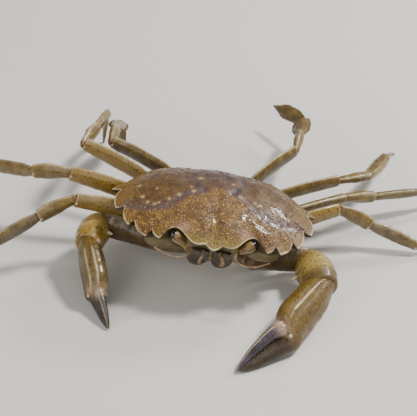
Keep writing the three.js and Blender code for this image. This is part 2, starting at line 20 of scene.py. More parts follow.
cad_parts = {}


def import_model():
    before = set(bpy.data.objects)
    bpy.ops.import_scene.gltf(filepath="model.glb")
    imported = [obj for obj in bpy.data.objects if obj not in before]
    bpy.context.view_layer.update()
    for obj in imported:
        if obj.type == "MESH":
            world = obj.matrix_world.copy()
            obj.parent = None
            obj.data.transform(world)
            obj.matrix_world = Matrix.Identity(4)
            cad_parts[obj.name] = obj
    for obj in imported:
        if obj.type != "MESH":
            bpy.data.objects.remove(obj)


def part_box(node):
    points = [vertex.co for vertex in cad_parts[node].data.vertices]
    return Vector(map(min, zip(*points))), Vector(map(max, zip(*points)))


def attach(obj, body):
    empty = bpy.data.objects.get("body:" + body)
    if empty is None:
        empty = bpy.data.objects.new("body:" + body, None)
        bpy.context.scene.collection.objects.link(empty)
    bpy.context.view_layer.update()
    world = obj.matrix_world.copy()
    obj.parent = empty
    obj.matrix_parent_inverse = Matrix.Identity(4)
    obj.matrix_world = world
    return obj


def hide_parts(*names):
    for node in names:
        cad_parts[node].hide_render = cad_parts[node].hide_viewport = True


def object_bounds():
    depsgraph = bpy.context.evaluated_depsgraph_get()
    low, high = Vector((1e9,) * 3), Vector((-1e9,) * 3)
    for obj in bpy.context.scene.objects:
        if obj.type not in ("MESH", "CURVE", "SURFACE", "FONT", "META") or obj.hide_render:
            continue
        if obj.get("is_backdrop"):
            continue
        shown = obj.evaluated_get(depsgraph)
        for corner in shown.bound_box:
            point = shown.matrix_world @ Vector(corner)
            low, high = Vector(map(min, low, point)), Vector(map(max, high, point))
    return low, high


LOG = logging.getLogger("shore_crab")
Array = np.ndarray
Paint = dict[str, Array | float]
Shape = Callable[[Array, Array], Array]
Socket = bpy.types.NodeSocket
Two = tuple[float, float]
Three = tuple[float, float, float]
Four = tuple[float, float, float, float]
Line = tuple[Two, ...]
Route = tuple[Three, ...]

MM = 0.001
GAP = 0.3  # clearance between neighbouring solids
UP = np.array([0.0, 0.0, 1.0])


class Side(Enum):
    """A side of the body, with the sign of its X."""

    LEFT = 1
    RIGHT = -1

    @property
    def word(self) -> str:
        """The side's name inside a node's name."""
        return self.name.lower()


# ------------------------ numbers and curves


def smooth(value: Array | float) -> Array:
    """Rises from 0 to 1 as value goes from 0 to 1, flat at both ends: 3 v^2 - 2 v^3."""
    v = np.clip(value, 0.0, 1.0)
    return v * v * (3.0 - 2.0 * v)


def bell(distance: Array | float, width: float) -> Array:
    """A bell curve of a distance: e to the minus (distance / width) squared."""
    return np.exp(-((distance / width) ** 2))


def power_wave(value: Array, power: float) -> Array:
    """The sign of value times its size to a power, which squares off or pinches a circle."""
    return np.sign(value) * np.abs(value) ** power


def unit(ways: Array) -> Array:
    """Vectors brought to a length of 1."""
    return ways / np.linalg.norm(ways, axis=-1, keepdims=True)


def full_turn(count: int) -> Array:
    """Evenly spaced turns round a circle, in radians from 0."""
    return np.linspace(0, 2 * math.pi, count, endpoint=False)


def flowing(knots: Sequence[float], values: Sequence[float], at: Array) -> Array:
    """A cubic through the knots that never overshoots them, by harmonic mean slopes.

    Args:
        knots: rising places.
        values: value at each knot.
        at: places to read.

    Returns:
        The value at each place, level beyond the ends.
    """
    x, y = np.asarray(knots, float), np.asarray(values, float)
    step = np.diff(x)
    rise = np.diff(y) / step
    slope = np.concatenate([rise[:1], np.zeros(len(x) - 2), rise[-1:]])
    same = rise[1:] * rise[:-1] > 0
    before, after = np.where(same, rise[:-1], 1.0), np.where(same, rise[1:], 1.0)
    heavy, light = 2 * step[1:] + step[:-1], step[1:] + 2 * step[:-1]
    slope[1:-1] = np.where(same, (heavy + light) / (heavy / before + light / after), 0.0)
    place = np.clip(at, x[0], x[-1])
    k = np.clip(np.searchsorted(x, place) - 1, 0, len(x) - 2)
    t = (place - x[k]) / step[k]
    return (
        (1 + 2 * t) * (1 - t) ** 2 * y[k]
        + t * (1 - t) ** 2 * step[k] * slope[k]
        + t * t * (3 - 2 * t) * y[k + 1]
        + t * t * (t - 1) * step[k] * slope[k + 1]
    )


def round_spline(points: Array, count: int) -> Array:
    """A Catmull-Rom curve through points, at evenly spaced values of its parameter.

    Args:
        points: (n, 3) points of the route.
        count: number of points to return.

    Returns:
        (count, 3) points from the first to the last.
    """
    padded = np.vstack([2 * points[0] - points[1], points, 2 * points[-1] - points[-2]])
    place = np.linspace(0, len(points) - 1, count)
    k = np.minimum(place.astype(int), len(points) - 2)
    t = (place - k)[:, None]
    a, b, c, d = padded[k], padded[k + 1], padded[k + 2], padded[k + 3]
    return 0.5 * (2 * b + (c - a) * t + (2 * a - 5 * b + 4 * c - d) * t**2 + (3 * b - a - 3 * c + d) * t**3)


# ------------------------ frames


def direction(azimuth: float, elevation: float) -> Array:
    """Unit vector of an azimuth (0 at +X, 90 at +Y) and elevation in degrees."""
    a, e = math.radians(azimuth), math.radians(elevation)
    return np.array([math.cos(a) * math.cos(e), math.sin(a) * math.cos(e), math.sin(e)])


@dataclass(frozen=True)
class Frame:
    """A place with three axes, held as the columns along, across and upper."""

    origin: Array
    axes: Array

    @staticmethod
    def along(origin: Array, way: Array, roll: float = 0.0) -> "Frame":
        """A frame whose X runs along a way, with Z its upper edge, rolled about X.

        Args:
            origin: place of the frame.
            way: unit vector of X.
            roll: degrees by which the upper edge leans to the side.

        Returns:
            The frame.
        """
        side = unit(np.cross(way, UP))
        upright = np.cross(side, way)
        turn = math.radians(roll)
        edge = upright * math.cos(turn) + side * math.sin(turn)
        return Frame(np.asarray(origin, float), np.column_stack([way, np.cross(edge, way), edge]))

    def place(self, local: Array) -> Array:
        """Points of this frame, over the floor."""
        return self.origin + local @ self.axes.T


@dataclass(frozen=True)
class Stance:
    """How the trunk is held over the floor: nose up, left side down."""

    pitch: float = 9.0
    roll: float = 6.0
    lift: float = 8.0

    @property
    def frame(self) -> Frame:
        """The trunk's own frame over the floor."""
        p, r = math.radians(self.pitch), math.radians(self.roll)
        tip = np.array([[1, 0, 0], [0, math.cos(p), math.sin(p)], [0, -math.sin(p), math.cos(p)]])
        lean = np.array([[math.cos(r), 0, math.sin(r)], [0, 1, 0], [-math.sin(r), 0, math.cos(r)]])
        return Frame(np.array([0.0, 0.0, self.lift]), tip @ lean)

    def point(self, body: Sequence[float], side: Side = Side.LEFT) -> Array:
        """A point given on the left side of the trunk, or its mirror image, over the floor."""
        x, y, z = body
        return self.frame.place(np.array([side.value * x, y, z]))

    def span(self, root: Sequence[float], tip: Sequence[float], side: Side) -> tuple[Frame, float]:
        """A frame at one point of the trunk whose X looks to another.

        Args:
            root: the first point.
            tip: the other.
            side: on which side both are.

        Returns:
            The frame, and the way between the points.
        """
        start, end = self.point(root, side), self.point(tip, side)
        length = float(np.linalg.norm(end - start))
        return Frame.along(start, (end - start) / length), length


STANCE = Stance()


# ------------------------ skins


@dataclass
class Skin:
    """A closed surface: its points, faces that look outwards, and paints of one value or one per point."""

    points: Array
    quads: Array
    triangles: Array
    paint: Paint = field(default_factory=dict)
    unwrap: Array | None = None  # place of each point on the flat unwrap of the skin it grows on

    def outward(self) -> "Skin":
        """This skin with its faces turned to look outwards, if its volume comes out negative."""
        halves = [self.quads[:, [0, 1, 2]], self.quads[:, [0, 2, 3]], self.triangles]
        corner = self.points[np.concatenate(halves)]
        volume = np.einsum("ij,ij->", corner[:, 0], np.cross(corner[:, 1], corner[:, 2]))
        if volume < 0:
            self.quads, self.triangles = self.quads[:, ::-1], self.triangles[:, ::-1]
        return self

    def on_trunk(self) -> "Skin":
        """This skin, made in the trunk's own frame, brought over the floor."""
        self.points = STANCE.frame.place(self.points)
        return self

    def resting(self) -> "Skin":
        """This skin with what dips below the floor pressed flat on it."""
        self.points[:, 2] = np.maximum(self.points[:, 2], 0.0)
        return self

    def painted(self, name: str) -> Array:
        """One paint at each point, 0 where the skin has none of it."""
        return np.broadcast_to(np.asarray(self.paint.get(name, 0.0), float), len(self.points))


def closed_rings(rings: Array, paint: Paint | None = None) -> Skin:
    """A closed skin through rings of equal length, with a pole in the middle of each end ring.

    Args:
        rings: (rings, sides, 3) points.
        paint: values by name, which spread to (rings, sides).

    Returns:
        The skin, looking outwards.
    """
    rows, sides, _ = rings.shape
    poles = rings[[0, -1]].mean(axis=1)
    points = np.vstack([rings.reshape(-1, 3), poles])
    row, side = np.meshgrid(np.arange(rows - 1), np.arange(sides), indexing="ij")
    after = (side + 1) % sides
    corners = (row * sides + side, row * sides + after, (row + 1) * sides + after, (row + 1) * sides + side)
    quads = np.stack(corners, axis=-1).reshape(-1, 4)
    j = np.arange(sides)
    k = (j + 1) % sides
    first = np.column_stack([np.full(sides, rows * sides), k, j])
    base = (rows - 1) * sides
    last = np.column_stack([np.full(sides, rows * sides + 1), base + j, base + k])
    flat = {}
    for name, value in (paint or {}).items():
        spread = np.broadcast_to(value, (rows, sides))
        flat[name] = np.concatenate([spread.ravel(), spread[[0, -1]].mean(axis=1)])
    return Skin(points, quads, np.vstack([first, last]), flat).outward()


def joined(skins: Sequence[Skin]) -> Skin:
    """Several skins as one.

    Args:
        skins: the skins, of which all or none have an unwrap.

    Returns:
        The skin, with the paints of all of them.
    """
    starts = np.cumsum([0] + [len(skin.points) for skin in skins[:-1]])
    names = {name for skin in skins for name in skin.paint}
    return Skin(
        np.vstack([skin.points for skin in skins]),
        np.vstack([skin.quads + start for skin, start in zip(skins, starts)]),
        np.vstack([skin.triangles + start for skin, start in zip(skins, starts)]),
        {name: np.concatenate([skin.painted(name) for skin in skins]) for name in names},
        None if skins[0].unwrap is None else np.vstack([skin.unwrap for skin in skins]),
    )


def bead(centre: Array, radii: Sequence[float], axes: Array, paint: str = "mark") -> Skin:
    """A small ellipsoid, by latitude and longitude, with one paint.

    Args:
        centre: its middle over the floor.
        radii: half sizes along the columns of axes.
        axes: 3 by 3 columns.
        paint: name of its paint.

    Returns:
        The skin.
    """
    latitude, longitude = np.meshgrid(
        np.linspace(-math.pi / 2, math.pi / 2, 8)[1:-1], full_turn(12), indexing="ij"
    )
    across = np.cos(latitude)
    ball = np.stack([np.sin(latitude), across * np.cos(longitude), across * np.sin(longitude)], axis=-1)
    rings = centre + (ball * np.asarray(radii)) @ axes.T
    return closed_rings(rings, {paint: np.ones(latitude.shape)})


class Station(NamedTuple):
    """A section of a limb: its place, half height, half width and lift."""

    s: float
    h: float
    w: float
    z: float = 0.0


def sections(
    rows: Sequence[tuple], long: float, high: float = 1.0, wide: float = 1.0, start: float = 0.0
) -> list[Station]:
    """Sections of a limb given by shares.

    Args:
        rows: place, half height, half width and perhaps lift of each, as shares.
        long: the length that places are shares of.
        high: the half height that heights and lifts are shares of.
        wide: the half width that widths are shares of.
        start: where the places start.

    Returns:
        The stations.
    """
    return [Station(start + s * long, h * high, w * wide, *(v * high for v in z)) for s, h, w, *z in rows]


@dataclass(frozen=True)
class Sweep:
    """A limb surface: a round start, sections that flow into each other, and a lip or a tip."""

    stations: Sequence[Station]
    sides: int = 40
    rows: int = 44
    lip: float = 0.0  # how far a rounded lip stands out past the last section
    squareness: float = 0.92  # power of the section's circle, less than 1 for flatter faces

    def rings(
        self, frame_at: Callable[[Array], tuple[Array, Array]], shape: Shape | None
    ) -> tuple[Array, Paint]:
        """Rings over the floor and the paints that follow the surface.

        Each ring is an ellipse of half sizes w and h, times shape(turn, s); the start is a
        hemisphere of the first section, and the end turns inwards over the lip.

        Args:
            frame_at: gives the origin (n, 3) and axes (n, 3, 3) at each place s.
            shape: factor of the section at a turn (radians, 90 degrees at the upper edge) and s.

        Returns:
            (rows, sides, 3) points, and paints side, upper, along.
        """
        s, h, w, z = np.array(self.stations).T
        dome = np.radians(np.linspace(8, 90, 9))[:-1]
        body = np.linspace(s[0], s[-1], self.rows)
        over = np.radians(np.linspace(0, 150, 7))[1:]
        reach = np.concatenate([s[0] - h[0] * np.cos(dome), body, s[-1] + self.lip * np.sin(over)])
        read = np.clip(reach, s[0], s[-1])
        scale = np.concatenate([np.sin(dome), np.ones(len(body)), 1 - 0.16 * (1 - np.cos(over))])
        if not self.lip:
            reach, read, scale = (value[: -len(over)] for value in (reach, read, scale))
        high, wide, lift = (flowing(s, value, read) for value in (h, w, z))
        turn = full_turn(self.sides)
        turns, places = np.meshgrid(turn, reach)
        factor = shape(turns, places) if shape else np.ones_like(turns)
        across = power_wave(np.cos(turns), self.squareness) * (wide * scale)[:, None] * factor
        upward = power_wave(np.sin(turns), self.squareness) * (high * scale)[:, None] * factor
        upward += lift[:, None]
        origin, axes = frame_at(reach)
        sideways, upwards = across[..., None] * axes[:, None, :, 1], upward[..., None] * axes[:, None, :, 2]
        paint = {"side": np.cos(turns), "upper": np.sin(turns), "along": places}
        return origin[:, None] + sideways + upwards, paint

    def straight(self, frame: Frame, shape: Shape | None = None) -> tuple[Array, Paint]:
        """Rings and paints along the X axis of one frame.

        Args:
            frame: its place.
            shape: factor of the section, as rings takes it.

        Returns:
            What rings gives.
        """

        def at(reach: Array) -> tuple[Array, Array]:
            """The frame carried along its own X."""
            origin = frame.origin + reach[:, None] * frame.axes[:, 0]
            return origin, np.broadcast_to(frame.axes, (len(reach), 3, 3))

        return self.rings(at, shape)


@dataclass(frozen=True)
class Fringe:
    """Tufts of short stiff hairs along the two thin edges of an article."""

    tufts: int
    length: float
    edges: tuple[float, ...] = (90.0, -90.0)
    start: float = 0.12
    end: float = 0.94
    hairs: int = 4
    thick: float = 0.045
    patch: float = 0.003  # width of a tuft on the unwrap

    def skin(self, rings: Array, region: Two, seed: int) -> Skin:
        """The hairs as one skin of slender three-sided cones.

        A hair is root + L (u way + 0.35 u^2 along), for u from 0 to 1, and grows thinner with u.

        Args:
            rings: (rows, sides, 3) points of the article they grow on.
            region: start and width, across the unwrap, of this article's part.
            seed: which scatter.

        Returns:
            The skin, with its unwrap.
        """
        rng = np.random.default_rng(seed)
        rows, sides, _ = rings.shape
        count = self.tufts * len(self.edges)
        row = (rng.uniform(self.start, self.end, count) * (rows - 2)).astype(int)
        spread = rng.normal(0.0, 9.0, count)
        turn = (np.repeat(self.edges, self.tufts) + spread) % 360.0
        column = (turn / 360.0 * sides).astype(int) % sides
        root = rings[row, column]
        along = unit(rings[row + 1].mean(axis=1) - rings[row].mean(axis=1))
        out = unit(root - rings[row].mean(axis=1))
        place = np.column_stack([region[0] + region[1] * turn / 360.0, 0.02 + 0.96 * row / rows])
        each = (root, along, out, place)
        root, along, out, place = (np.repeat(value, self.hairs, axis=0) for value in each)
        total = len(root)
        way = unit(out + 0.45 * along + rng.normal(0.0, 0.22, (total, 3)))
        length = self.length * rng.uniform(0.6, 1.15, total)
        root = root + rng.normal(0.0, 0.06, (total, 3)) - 0.1 * out
        first = unit(np.cross(way, along))
        second = np.cross(way, first)
        u = np.array([0.0, 0.5, 1.0])[None, :, None, None]
        radius = self.thick * np.array([1.0, 0.75, 0.2])[None, :, None, None]
        angle = np.radians([0.0, 120.0, 240.0])[None, None, :, None]
        lift = (length[:, None] * way)[:, None, None]
        bend = (0.35 * length[:, None] * along)[:, None, None]
        ring = np.cos(angle) * first[:, None, None] + np.sin(angle) * second[:, None, None]
        points = root[:, None, None] + lift * u + bend * u**2 + radius * ring
        j = np.arange(3)
        k = (j + 1) % 3
        quads = np.vstack([np.column_stack([j, k, k + 3, j + 3]) + 3 * level for level in (0, 1)])
        ends = np.array([[2, 1, 0], [6, 7, 8]])
        start = (9 * np.arange(total))[:, None, None]
        share = np.broadcast_to(u[..., 0], (total, 3, 3))
        place_in_tuft = ((np.arange(total) % self.hairs) / self.hairs - 0.5)[:, None, None]
        beside = place_in_tuft + 0.08 * np.cos(angle[..., 0])
        patch = np.stack(np.broadcast_arrays(beside, share - 0.5), axis=-1)
        tile = place[:, None, None] + self.patch * patch
        return Skin(
            points.reshape(-1, 3), (quads + start).reshape(-1, 4), (ends + start).reshape(-1, 3),
            {"share": share.ravel()}, tile.reshape(-1, 2),
        ).outward()


LEG_FRINGE, PADDLE_FRINGE = Fringe(90, 0.38, thick=0.03), Fringe(300, 0.6, thick=0.032)


# ------------------------ pieces


def linked(name: str, data: bpy.types.ID) -> bpy.types.Object:
    """A new object of some data, in the scene."""
    obj = bpy.data.objects.new(name, data)
    bpy.context.scene.collection.objects.link(obj)
    return obj


@dataclass
class Workshop:
    """Makes Blender pieces out of skins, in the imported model's frame."""

    looks: Looks
    shift: Array = field(default_factory=lambda: np.zeros(3))

    def settle(self, node: str, own: Array) -> None:
        """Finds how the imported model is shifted, by the lowest corner of one of its nodes.

        Args:
            node: a node whose shape is known here.
            own: that node's lowest corner as worked out here.
        """
        self.shift = np.array(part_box(node)[0]) / MM - own

    def piece(self, name: str, skin: Skin, look: str, *replaces: str) -> None:
        """Makes a smooth mesh object that rides on the crab's one body.

        Args:
            name: name of the piece.
            skin: its surface over the floor, in millimetres.
            look: its finish.
            replaces: the solids it stands for.
        """
        mesh = bpy.data.meshes.new(name)
        faces = skin.quads.tolist() + skin.triangles.tolist()
        mesh.from_pydata(((skin.points + self.shift) * MM).tolist(), [], faces)
        mesh.polygons.foreach_set("use_smooth", np.ones(len(mesh.polygons), bool))
        for paint in sorted(skin.paint):
            layer = mesh.attributes.new(paint, "FLOAT", "POINT")
            layer.data.foreach_set("value", skin.painted(paint).astype(np.float32))
        if skin.unwrap is not None:
            corners = np.zeros(len(mesh.loops), np.int32)
            mesh.loops.foreach_get("vertex_index", corners)
            layer = mesh.uv_layers.new(name="OFBake")
            layer.data.foreach_set("uv", skin.unwrap[corners].astype(np.float32).ravel())
        mesh.materials.append(self.looks[look])
        mesh.update()
        obj = linked(name, mesh)
        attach(obj, "root")
        if replaces:
            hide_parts(*replaces)
        LOG.info("%s: %d points", name, len(skin.points))

    def shell(self, node: str, skin: Skin, look: str) -> None:
        """Makes the piece that stands for one solid and is named after it."""
        self.piece(f"{node}_shell", skin, look, node)


# ------------------------ carapace


def pits(x: Array, y: Array, size: float, seed: int) -> Array:
    """A smooth random field between 0 and 1 over a plane, by blending values at grid corners.

    Args:
        x: places across.
        y: places along.
        size: distance between grid corners.
        seed: which field.

    Returns:
        The field at each place.
    """
    grid = np.random.default_rng(seed).random((64, 64))
    u, v = np.asarray(x) / size + 31.3, np.asarray(y) / size + 29.7
    i, j = np.floor(u).astype(int), np.floor(v).astype(int)
    a, b = smooth(u - i), smooth(v - j)
    at = lambda p, q: grid[p % 64, q % 64]
    low = at(i, j) * (1 - a) + at(i + 1, j) * a
    high = at(i, j + 1) * (1 - a) + at(i + 1, j + 1) * a
    return low * (1 - b) + high * b


def line_distance(x: Array, y: Array, line: Sequence[Two]) -> Array:
    """Shortest distance from points of a plane to a line of straight pieces.

    Args:
        x: places across.
        y: places along.
        line: corners of the line.

    Returns:
        The distances.
    """
    place = np.stack([x, y], axis=-1)
    nearest = np.full(np.shape(x), 1e9)
    for start, end in zip(np.array(line[:-1]), np.array(line[1:])):
        run = end - start
        t = np.clip((place - start) @ run / (run @ run), 0, 1)
        nearest = np.minimum(nearest, np.linalg.norm(place - start - t[..., None] * run, axis=-1))
    return nearest


@dataclass(frozen=True)
class Corner:
    """A corner of the margin, with the bulge of the edge that leaves it."""

    x: float
    y: float
    z: float
    bulge: float


@dataclass(frozen=True)
class Region:
    """A swelling of the carapace, or a hollow where its height is negative."""

    x: float
    y: float
    wide: float
    long: float
    height: float


@dataclass
class Carapace:
    """The shell over the trunk: a low dome inside a toothed margin."""

    apex: float = 21.6
    dome_power: float = 2.2
    rim: float = 0.8
    deck: float = 10.3
    deck_fraction: float = 0.7
    plan_half: float = 28.5
    plan_front: float = -20.2
    plan_back: float = 25.5
    plan_power: float = 2.25
    tooth_power: float = 7.0
    tooth_lie: float = 0.75  # how closely the teeth follow the dome
    tips_half: float = 31.0
    tips_front: float = -22.9
    tips_back: float = 26.6
    spacing: float = 0.3  # between points of the margin
    rows: int = 120
    granules: int = 3400
    corners: tuple[Corner, ...] = (
        Corner(0, -22, 10.5, 0.25), Corner(2.5, -20.7, 10.9, 1.0), Corner(7.9, -19.6, 11.2, -3.0),
        Corner(15.8, -19.8, 11.0, 0.5), Corner(18.3, -17, 11.6, 0), Corner(19.9, -19, 11.2, 1.0),
        Corner(23.5, -13.5, 12.2, 0), Corner(25.1, -15.4, 12, 1.0), Corner(26.7, -8.2, 13, 0),
        Corner(29.4, -8.7, 13.2, 1.1), Corner(28.4, 0.3, 13.8, 0), Corner(31.2, 1.1, 14, 0.3),
        Corner(27.3, 5, 13.3, 0.35), Corner(19.5, 15.8, 11.6, 0.35), Corner(11.5, 24.6, 9.6, 0.3),
        Corner(0, 26.4, 9, 0),
    )
    regions: tuple[Region, ...] = (
        Region(7.5, -9, 5, 5, 0.5), Region(0, 9.5, 5, 4.5, 0.5), Region(16, 4, 7, 8, 0.6),
        Region(9.5, 1.5, 2.2, 5, -0.5), Region(3.4, -17.2, 2.6, 2.2, 0.35), Region(0, -1.5, 3.2, 4.5, 0.25),
    )
    cervical: Line = (
        (4.1, -4.7), (7.6, -6.3), (9.9, -7.1), (12.3, -9.7), (14.5, -10.9), (16.7, -10.7), (19.6, -10.7),
        (22.5, -9.9), (26.7, -8.2),
    )
    cardiac: Line = (
        (4.1, -4.7), (6.0, -2.0), (7.6, 2.0), (7.2, 7.0), (6.0, 11.0), (6.6, 16.0),
    )
    rear_ridge: Line = ((9, 21.8), (17, 15.0), (24, 6.5))
    # Where the front's colour ends: places across, and the place along at each.
    front_line: tuple[tuple[float, ...], ...] = (
        (0, 4, 7.6, 12, 16, 22, 27), (-3.4, -4.7, -6.3, -9.7, -10.9, -10.2, -8.2),
    )
    # Places of pale or orange spots: x, y, radius, strength.
    spots: tuple[Four, ...] = (
        (-23.3, -0.7, 0.5, 1), (-22, -6.5, 0.45, 1), (-20.4, -8.9, 0.45, 0.9), (-18.3, -9.9, 0.4, 0.9),
        (-17.2, -9.6, 0.35, 0.8), (-14.4, -8.7, 0.4, 0.9), (-18.1, -3.8, 0.4, 0.8), (-7.3, -5.2, 0.55, 0.8),
        (-8.1, -3.2, 0.4, 0.6), (-5.3, 1.9, 0.9, 0.6), (4.6, 0.9, 0.6, 0.6), (6.7, -5.2, 0.6, 0.8),
        (11.2, -6.4, 0.5, 0.8), (13, -6.6, 0.45, 0.7), (-11.6, -7, 0.6, 0.7),
    )
    navy: tuple[Two, ...] = ((-6.2, -2.7), (6.2, -1.5), (-3.2, 4.2), (3.4, 4.4))

    def margin(self) -> Array:
        """The whole edge, slightly rounded at the teeth.

        Returns:
            (n, 3) points round it, in the trunk's own frame.
        """
        half = []
        for a, b in zip(self.corners[:-1], self.corners[1:]):
            start, end = np.array([a.x, a.y, a.z]), np.array([b.x, b.y, b.z])
            outward = unit(np.array([end[1] - start[1], start[0] - end[0], 0.0]))
            steps = max(5, round(np.linalg.norm(end - start) / self.spacing))
            t = (np.arange(steps) / steps)[:, None]
            half.append(start + (end - start) * t + outward * a.bulge * np.sin(math.pi * t))
        left = np.vstack(half)
        last = self.corners[-1]
        loop = np.vstack([left, [[last.x, last.y, last.z]], left[:0:-1] * [-1, 1, 1]])
        for _ in range(2):
            loop = 0.5 * loop + 0.25 * (np.roll(loop, 1, axis=0) + np.roll(loop, -1, axis=0))
        return loop

    def plan(self, edge: Array, t: Array) -> Array:
        """Plan of the shell: smooth inside, toothed at the rim.

        Args:
            edge: points of the margin.
            t: share of the way out to each.

        Returns:
            Places across and along.
        """
        long = np.where(edge[..., 1] < 0, self.plan_front, self.plan_back)
        inner = np.abs(edge[..., 0] / self.plan_half) ** self.plan_power
        inner = (inner + np.abs(edge[..., 1] / long) ** self.plan_power) ** (-1 / self.plan_power)
        blend = t**self.tooth_power
        return edge[..., :2] * (t * (inner * (1 - blend) + blend))[..., None]

    def dome(self, edge: Array, t: Array) -> Array:
        """Height of the plain dome part of the way out to the edge.

        The dome falls with the share of the way to a smooth line round the tips of the teeth, so
        that the notches between them lie on the dome and don't furrow it.

        Args:
            edge: points of the margin.
            t: share of the way out to each.

        Returns:
            The heights.
        """
        plan = self.plan(edge, t)
        wide, long = np.abs(plan[..., 0]) / self.tips_half, plan[..., 1]
        long = np.abs(long / np.where(long < 0, self.tips_front, self.tips_back))
        around = (wide**self.plan_power + long**self.plan_power) ** (1 / self.plan_power)
        share = np.clip(t + self.tooth_lie * (around - t) * smooth((t - 0.3) / 0.5), 0, 1)
        return edge[..., 2] + (self.apex - edge[..., 2]) * (1 - share**self.dome_power)

    def relief(self, x: Array, y: Array) -> Array:
        """Swellings, grooves and small unevenness of the shell.

        Args:
            x: places across.
            y: places along.

        Returns:
            Their height over the plain dome.
        """
        wide = np.abs(x)
        total = np.zeros_like(x)
        for r in self.regions:
            for centre in {r.x, -r.x}:
                total += r.height * np.exp(-(((x - centre) / r.wide) ** 2) - ((y - r.y) / r.long) ** 2)
        total -= 0.36 * bell(line_distance(wide, y, self.cervical), 1.15)
        total -= 0.26 * bell(line_distance(wide, y, self.cardiac), 1.1)
        total -= 0.3 * bell(x, 0.7) * smooth((-12 - y) / 4)
        total += 0.34 * (pits(x, y, 3.4, 5) - 0.5) + 0.16 * (pits(x, y, 1.5, 6) - 0.5)
        return total + 0.3 * bell(line_distance(wide, y, self.rear_ridge), 1.0)

    def upper(self, edge: Array, t: Array) -> Array:
        """The outer face of the shell.

        Args:
            edge: points of the margin.
            t: share of the way out to each.

        Returns:
            Points of the face.
        """
        plan = self.plan(edge, t)
        height = self.dome(edge, t) + self.relief(plan[..., 0], plan[..., 1]) * (1 - t**6)
        return np.concatenate([plan, height[..., None]], axis=-1)

    def lower(self, edge: Array, t: Array) -> Array:
        """The under face, from the free edge in to the flat deck.

        Args:
            edge: points of the margin.
            t: share of the way out to each.

        Returns:
            Points of the face.
        """
        plan = self.plan(edge, t)
        low = self.dome(edge, np.ones_like(t)) - self.rim
        reach = np.clip((t - self.deck_fraction) / (1 - self.deck_fraction), 0, 1)
        height = self.deck + (low - self.deck) * reach ** np.where(low > self.deck, 1.2, 6.0)
        return np.concatenate([plan, height[..., None]], axis=-1)

    def paints(self, points: Array, t: Array) -> Paint:
        """Colour masks over the shell, by its own plan.

        Args:
            points: places, in the trunk's own frame.
            t: share of the way out to the edge.

        Returns:
            The masks by name.
        """
        x, y = points[..., 0], points[..., 1]
        wide = np.abs(x)
        wander = 1.6 * (pits(x, y, 2.6, 11) - 0.5)
        line = np.interp(wide, *self.front_line)
        front = smooth((line - y + wander) / 2.6 + 0.5)
        groove = bell(line_distance(wide, y, self.cervical), 1.3)
        groove += 0.7 * bell(line_distance(wide, y, self.cardiac), 1.1)
        rear = bell(np.hypot(x / 1.35, y - 6.5), 9.5) * (1 - front)
        spot = np.zeros_like(x)
        for cx, cy, radius, strength in self.spots:
            spot = np.maximum(spot, strength * bell(np.hypot(x - cx, y - cy), radius))
        navy = np.zeros_like(x)
        for cx, cy in self.navy:
            navy = np.maximum(navy, bell(np.hypot(x - cx, (y - cy) / 1.4), 0.9))
        return {
            "front": front,
            "groove": np.clip(groove, 0, 1),
            "rear": rear,
            "lobe": smooth((wide - 21.5 + wander) / 4) * smooth((14 - y) / 6),
            "band": bell(y + 20.4, 1.5) * smooth((13.5 - wide) / 2),
            "orbit": bell(np.hypot((wide - 9.3) / 2.2, (y + 17.4) / 1.5), 1.0),
            "rim": smooth((t - 0.9935) / 0.005),
            "spot": spot,
            "navy": navy,
        }

    def skin(self) -> Skin:
        """The closed shell.

        Returns:
            The skin, in the trunk's own frame.
        """
        edge = self.margin()
        t = np.concatenate([np.linspace(0.03, 0.9, self.rows - 26), np.linspace(0.91, 1, 26)])
        top = self.upper(edge, t[:, None])
        outward = unit(edge * [1, 1, 0])
        turn = np.radians([40, 90, 140])[:, None, None]
        lip = np.column_stack([edge[:, :2], self.dome(edge, np.ones(len(edge)))])
        half_rim = UP * self.rim / 2
        bead_ring = lip - half_rim + outward * 0.16 * np.sin(turn) + half_rim * np.cos(turn)
        under = np.array([1, 0.97, 0.93, 0.88, 0.8, 0.7, 0.4])
        bottom = self.lower(edge, under[:, None])
        rings = np.concatenate([top, bead_ring, bottom])
        paint = self.paints(rings, np.concatenate([t, [1, 1, 1], under])[:, None])
        # The shell's under face, painted dark brown: painted shade under the shell.
        paint["below"] = (np.arange(len(rings)) > len(t)).astype(float)[:, None]
        return closed_rings(rings, paint)

    def granule_skin(self, seed: int = 3) -> Skin:
        """Low rounded grains that stand on the shell, densest in front and near the teeth.

        Args:
            seed: which scatter.

        Returns:
            The grains as one skin, in the trunk's own frame.
        """
        rng = np.random.default_rng(seed)
        edge = self.margin()
        tries = self.granules * 4
        place = rng.random(tries) * len(edge)
        at = place.astype(int)
        near = edge[at] + (edge[(at + 1) % len(edge)] - edge[at]) * (place - at)[:, None]
        t = np.sqrt(rng.random(tries)) * 0.975
        base = self.upper(near, t)
        x, y = base[:, 0], base[:, 1]
        liking = 0.16 + 0.84 * smooth((-6 - y) / 8)
        liking += 0.6 * smooth((np.abs(x) - 17) / 6) * smooth((6 - y) / 8)
        kept = np.flatnonzero(rng.random(tries) < liking)[: self.granules]
        near, t, base = near[kept], t[kept], base[kept]
        step = 1e-3
        out = self.upper(near, t + step) - base
        cos, sin = math.cos(step), math.sin(step)
        turned = near @ np.array([[cos, sin, 0], [-sin, cos, 0], [0, 0, 1]])
        normal = unit(np.cross(out, self.upper(turned, t) - base))
        normal *= np.sign(normal[:, 2:])
        first = unit(np.cross(normal, [0.0, 1.0, 0.0]))
        radius = rng.uniform(0.14, 0.34, len(kept)) * (1 + 0.25 * smooth((-12 - base[:, 1]) / 6))
        return domes(base, normal, first, radius, self.paints(base, t))

    def build(self, shop: Workshop) -> None:
        """Makes the shell and its grains."""
        shop.shell("carapace", self.skin().on_trunk(), "carapace")
        shop.piece("carapace_shell_grains", self.granule_skin().on_trunk(), "carapace")


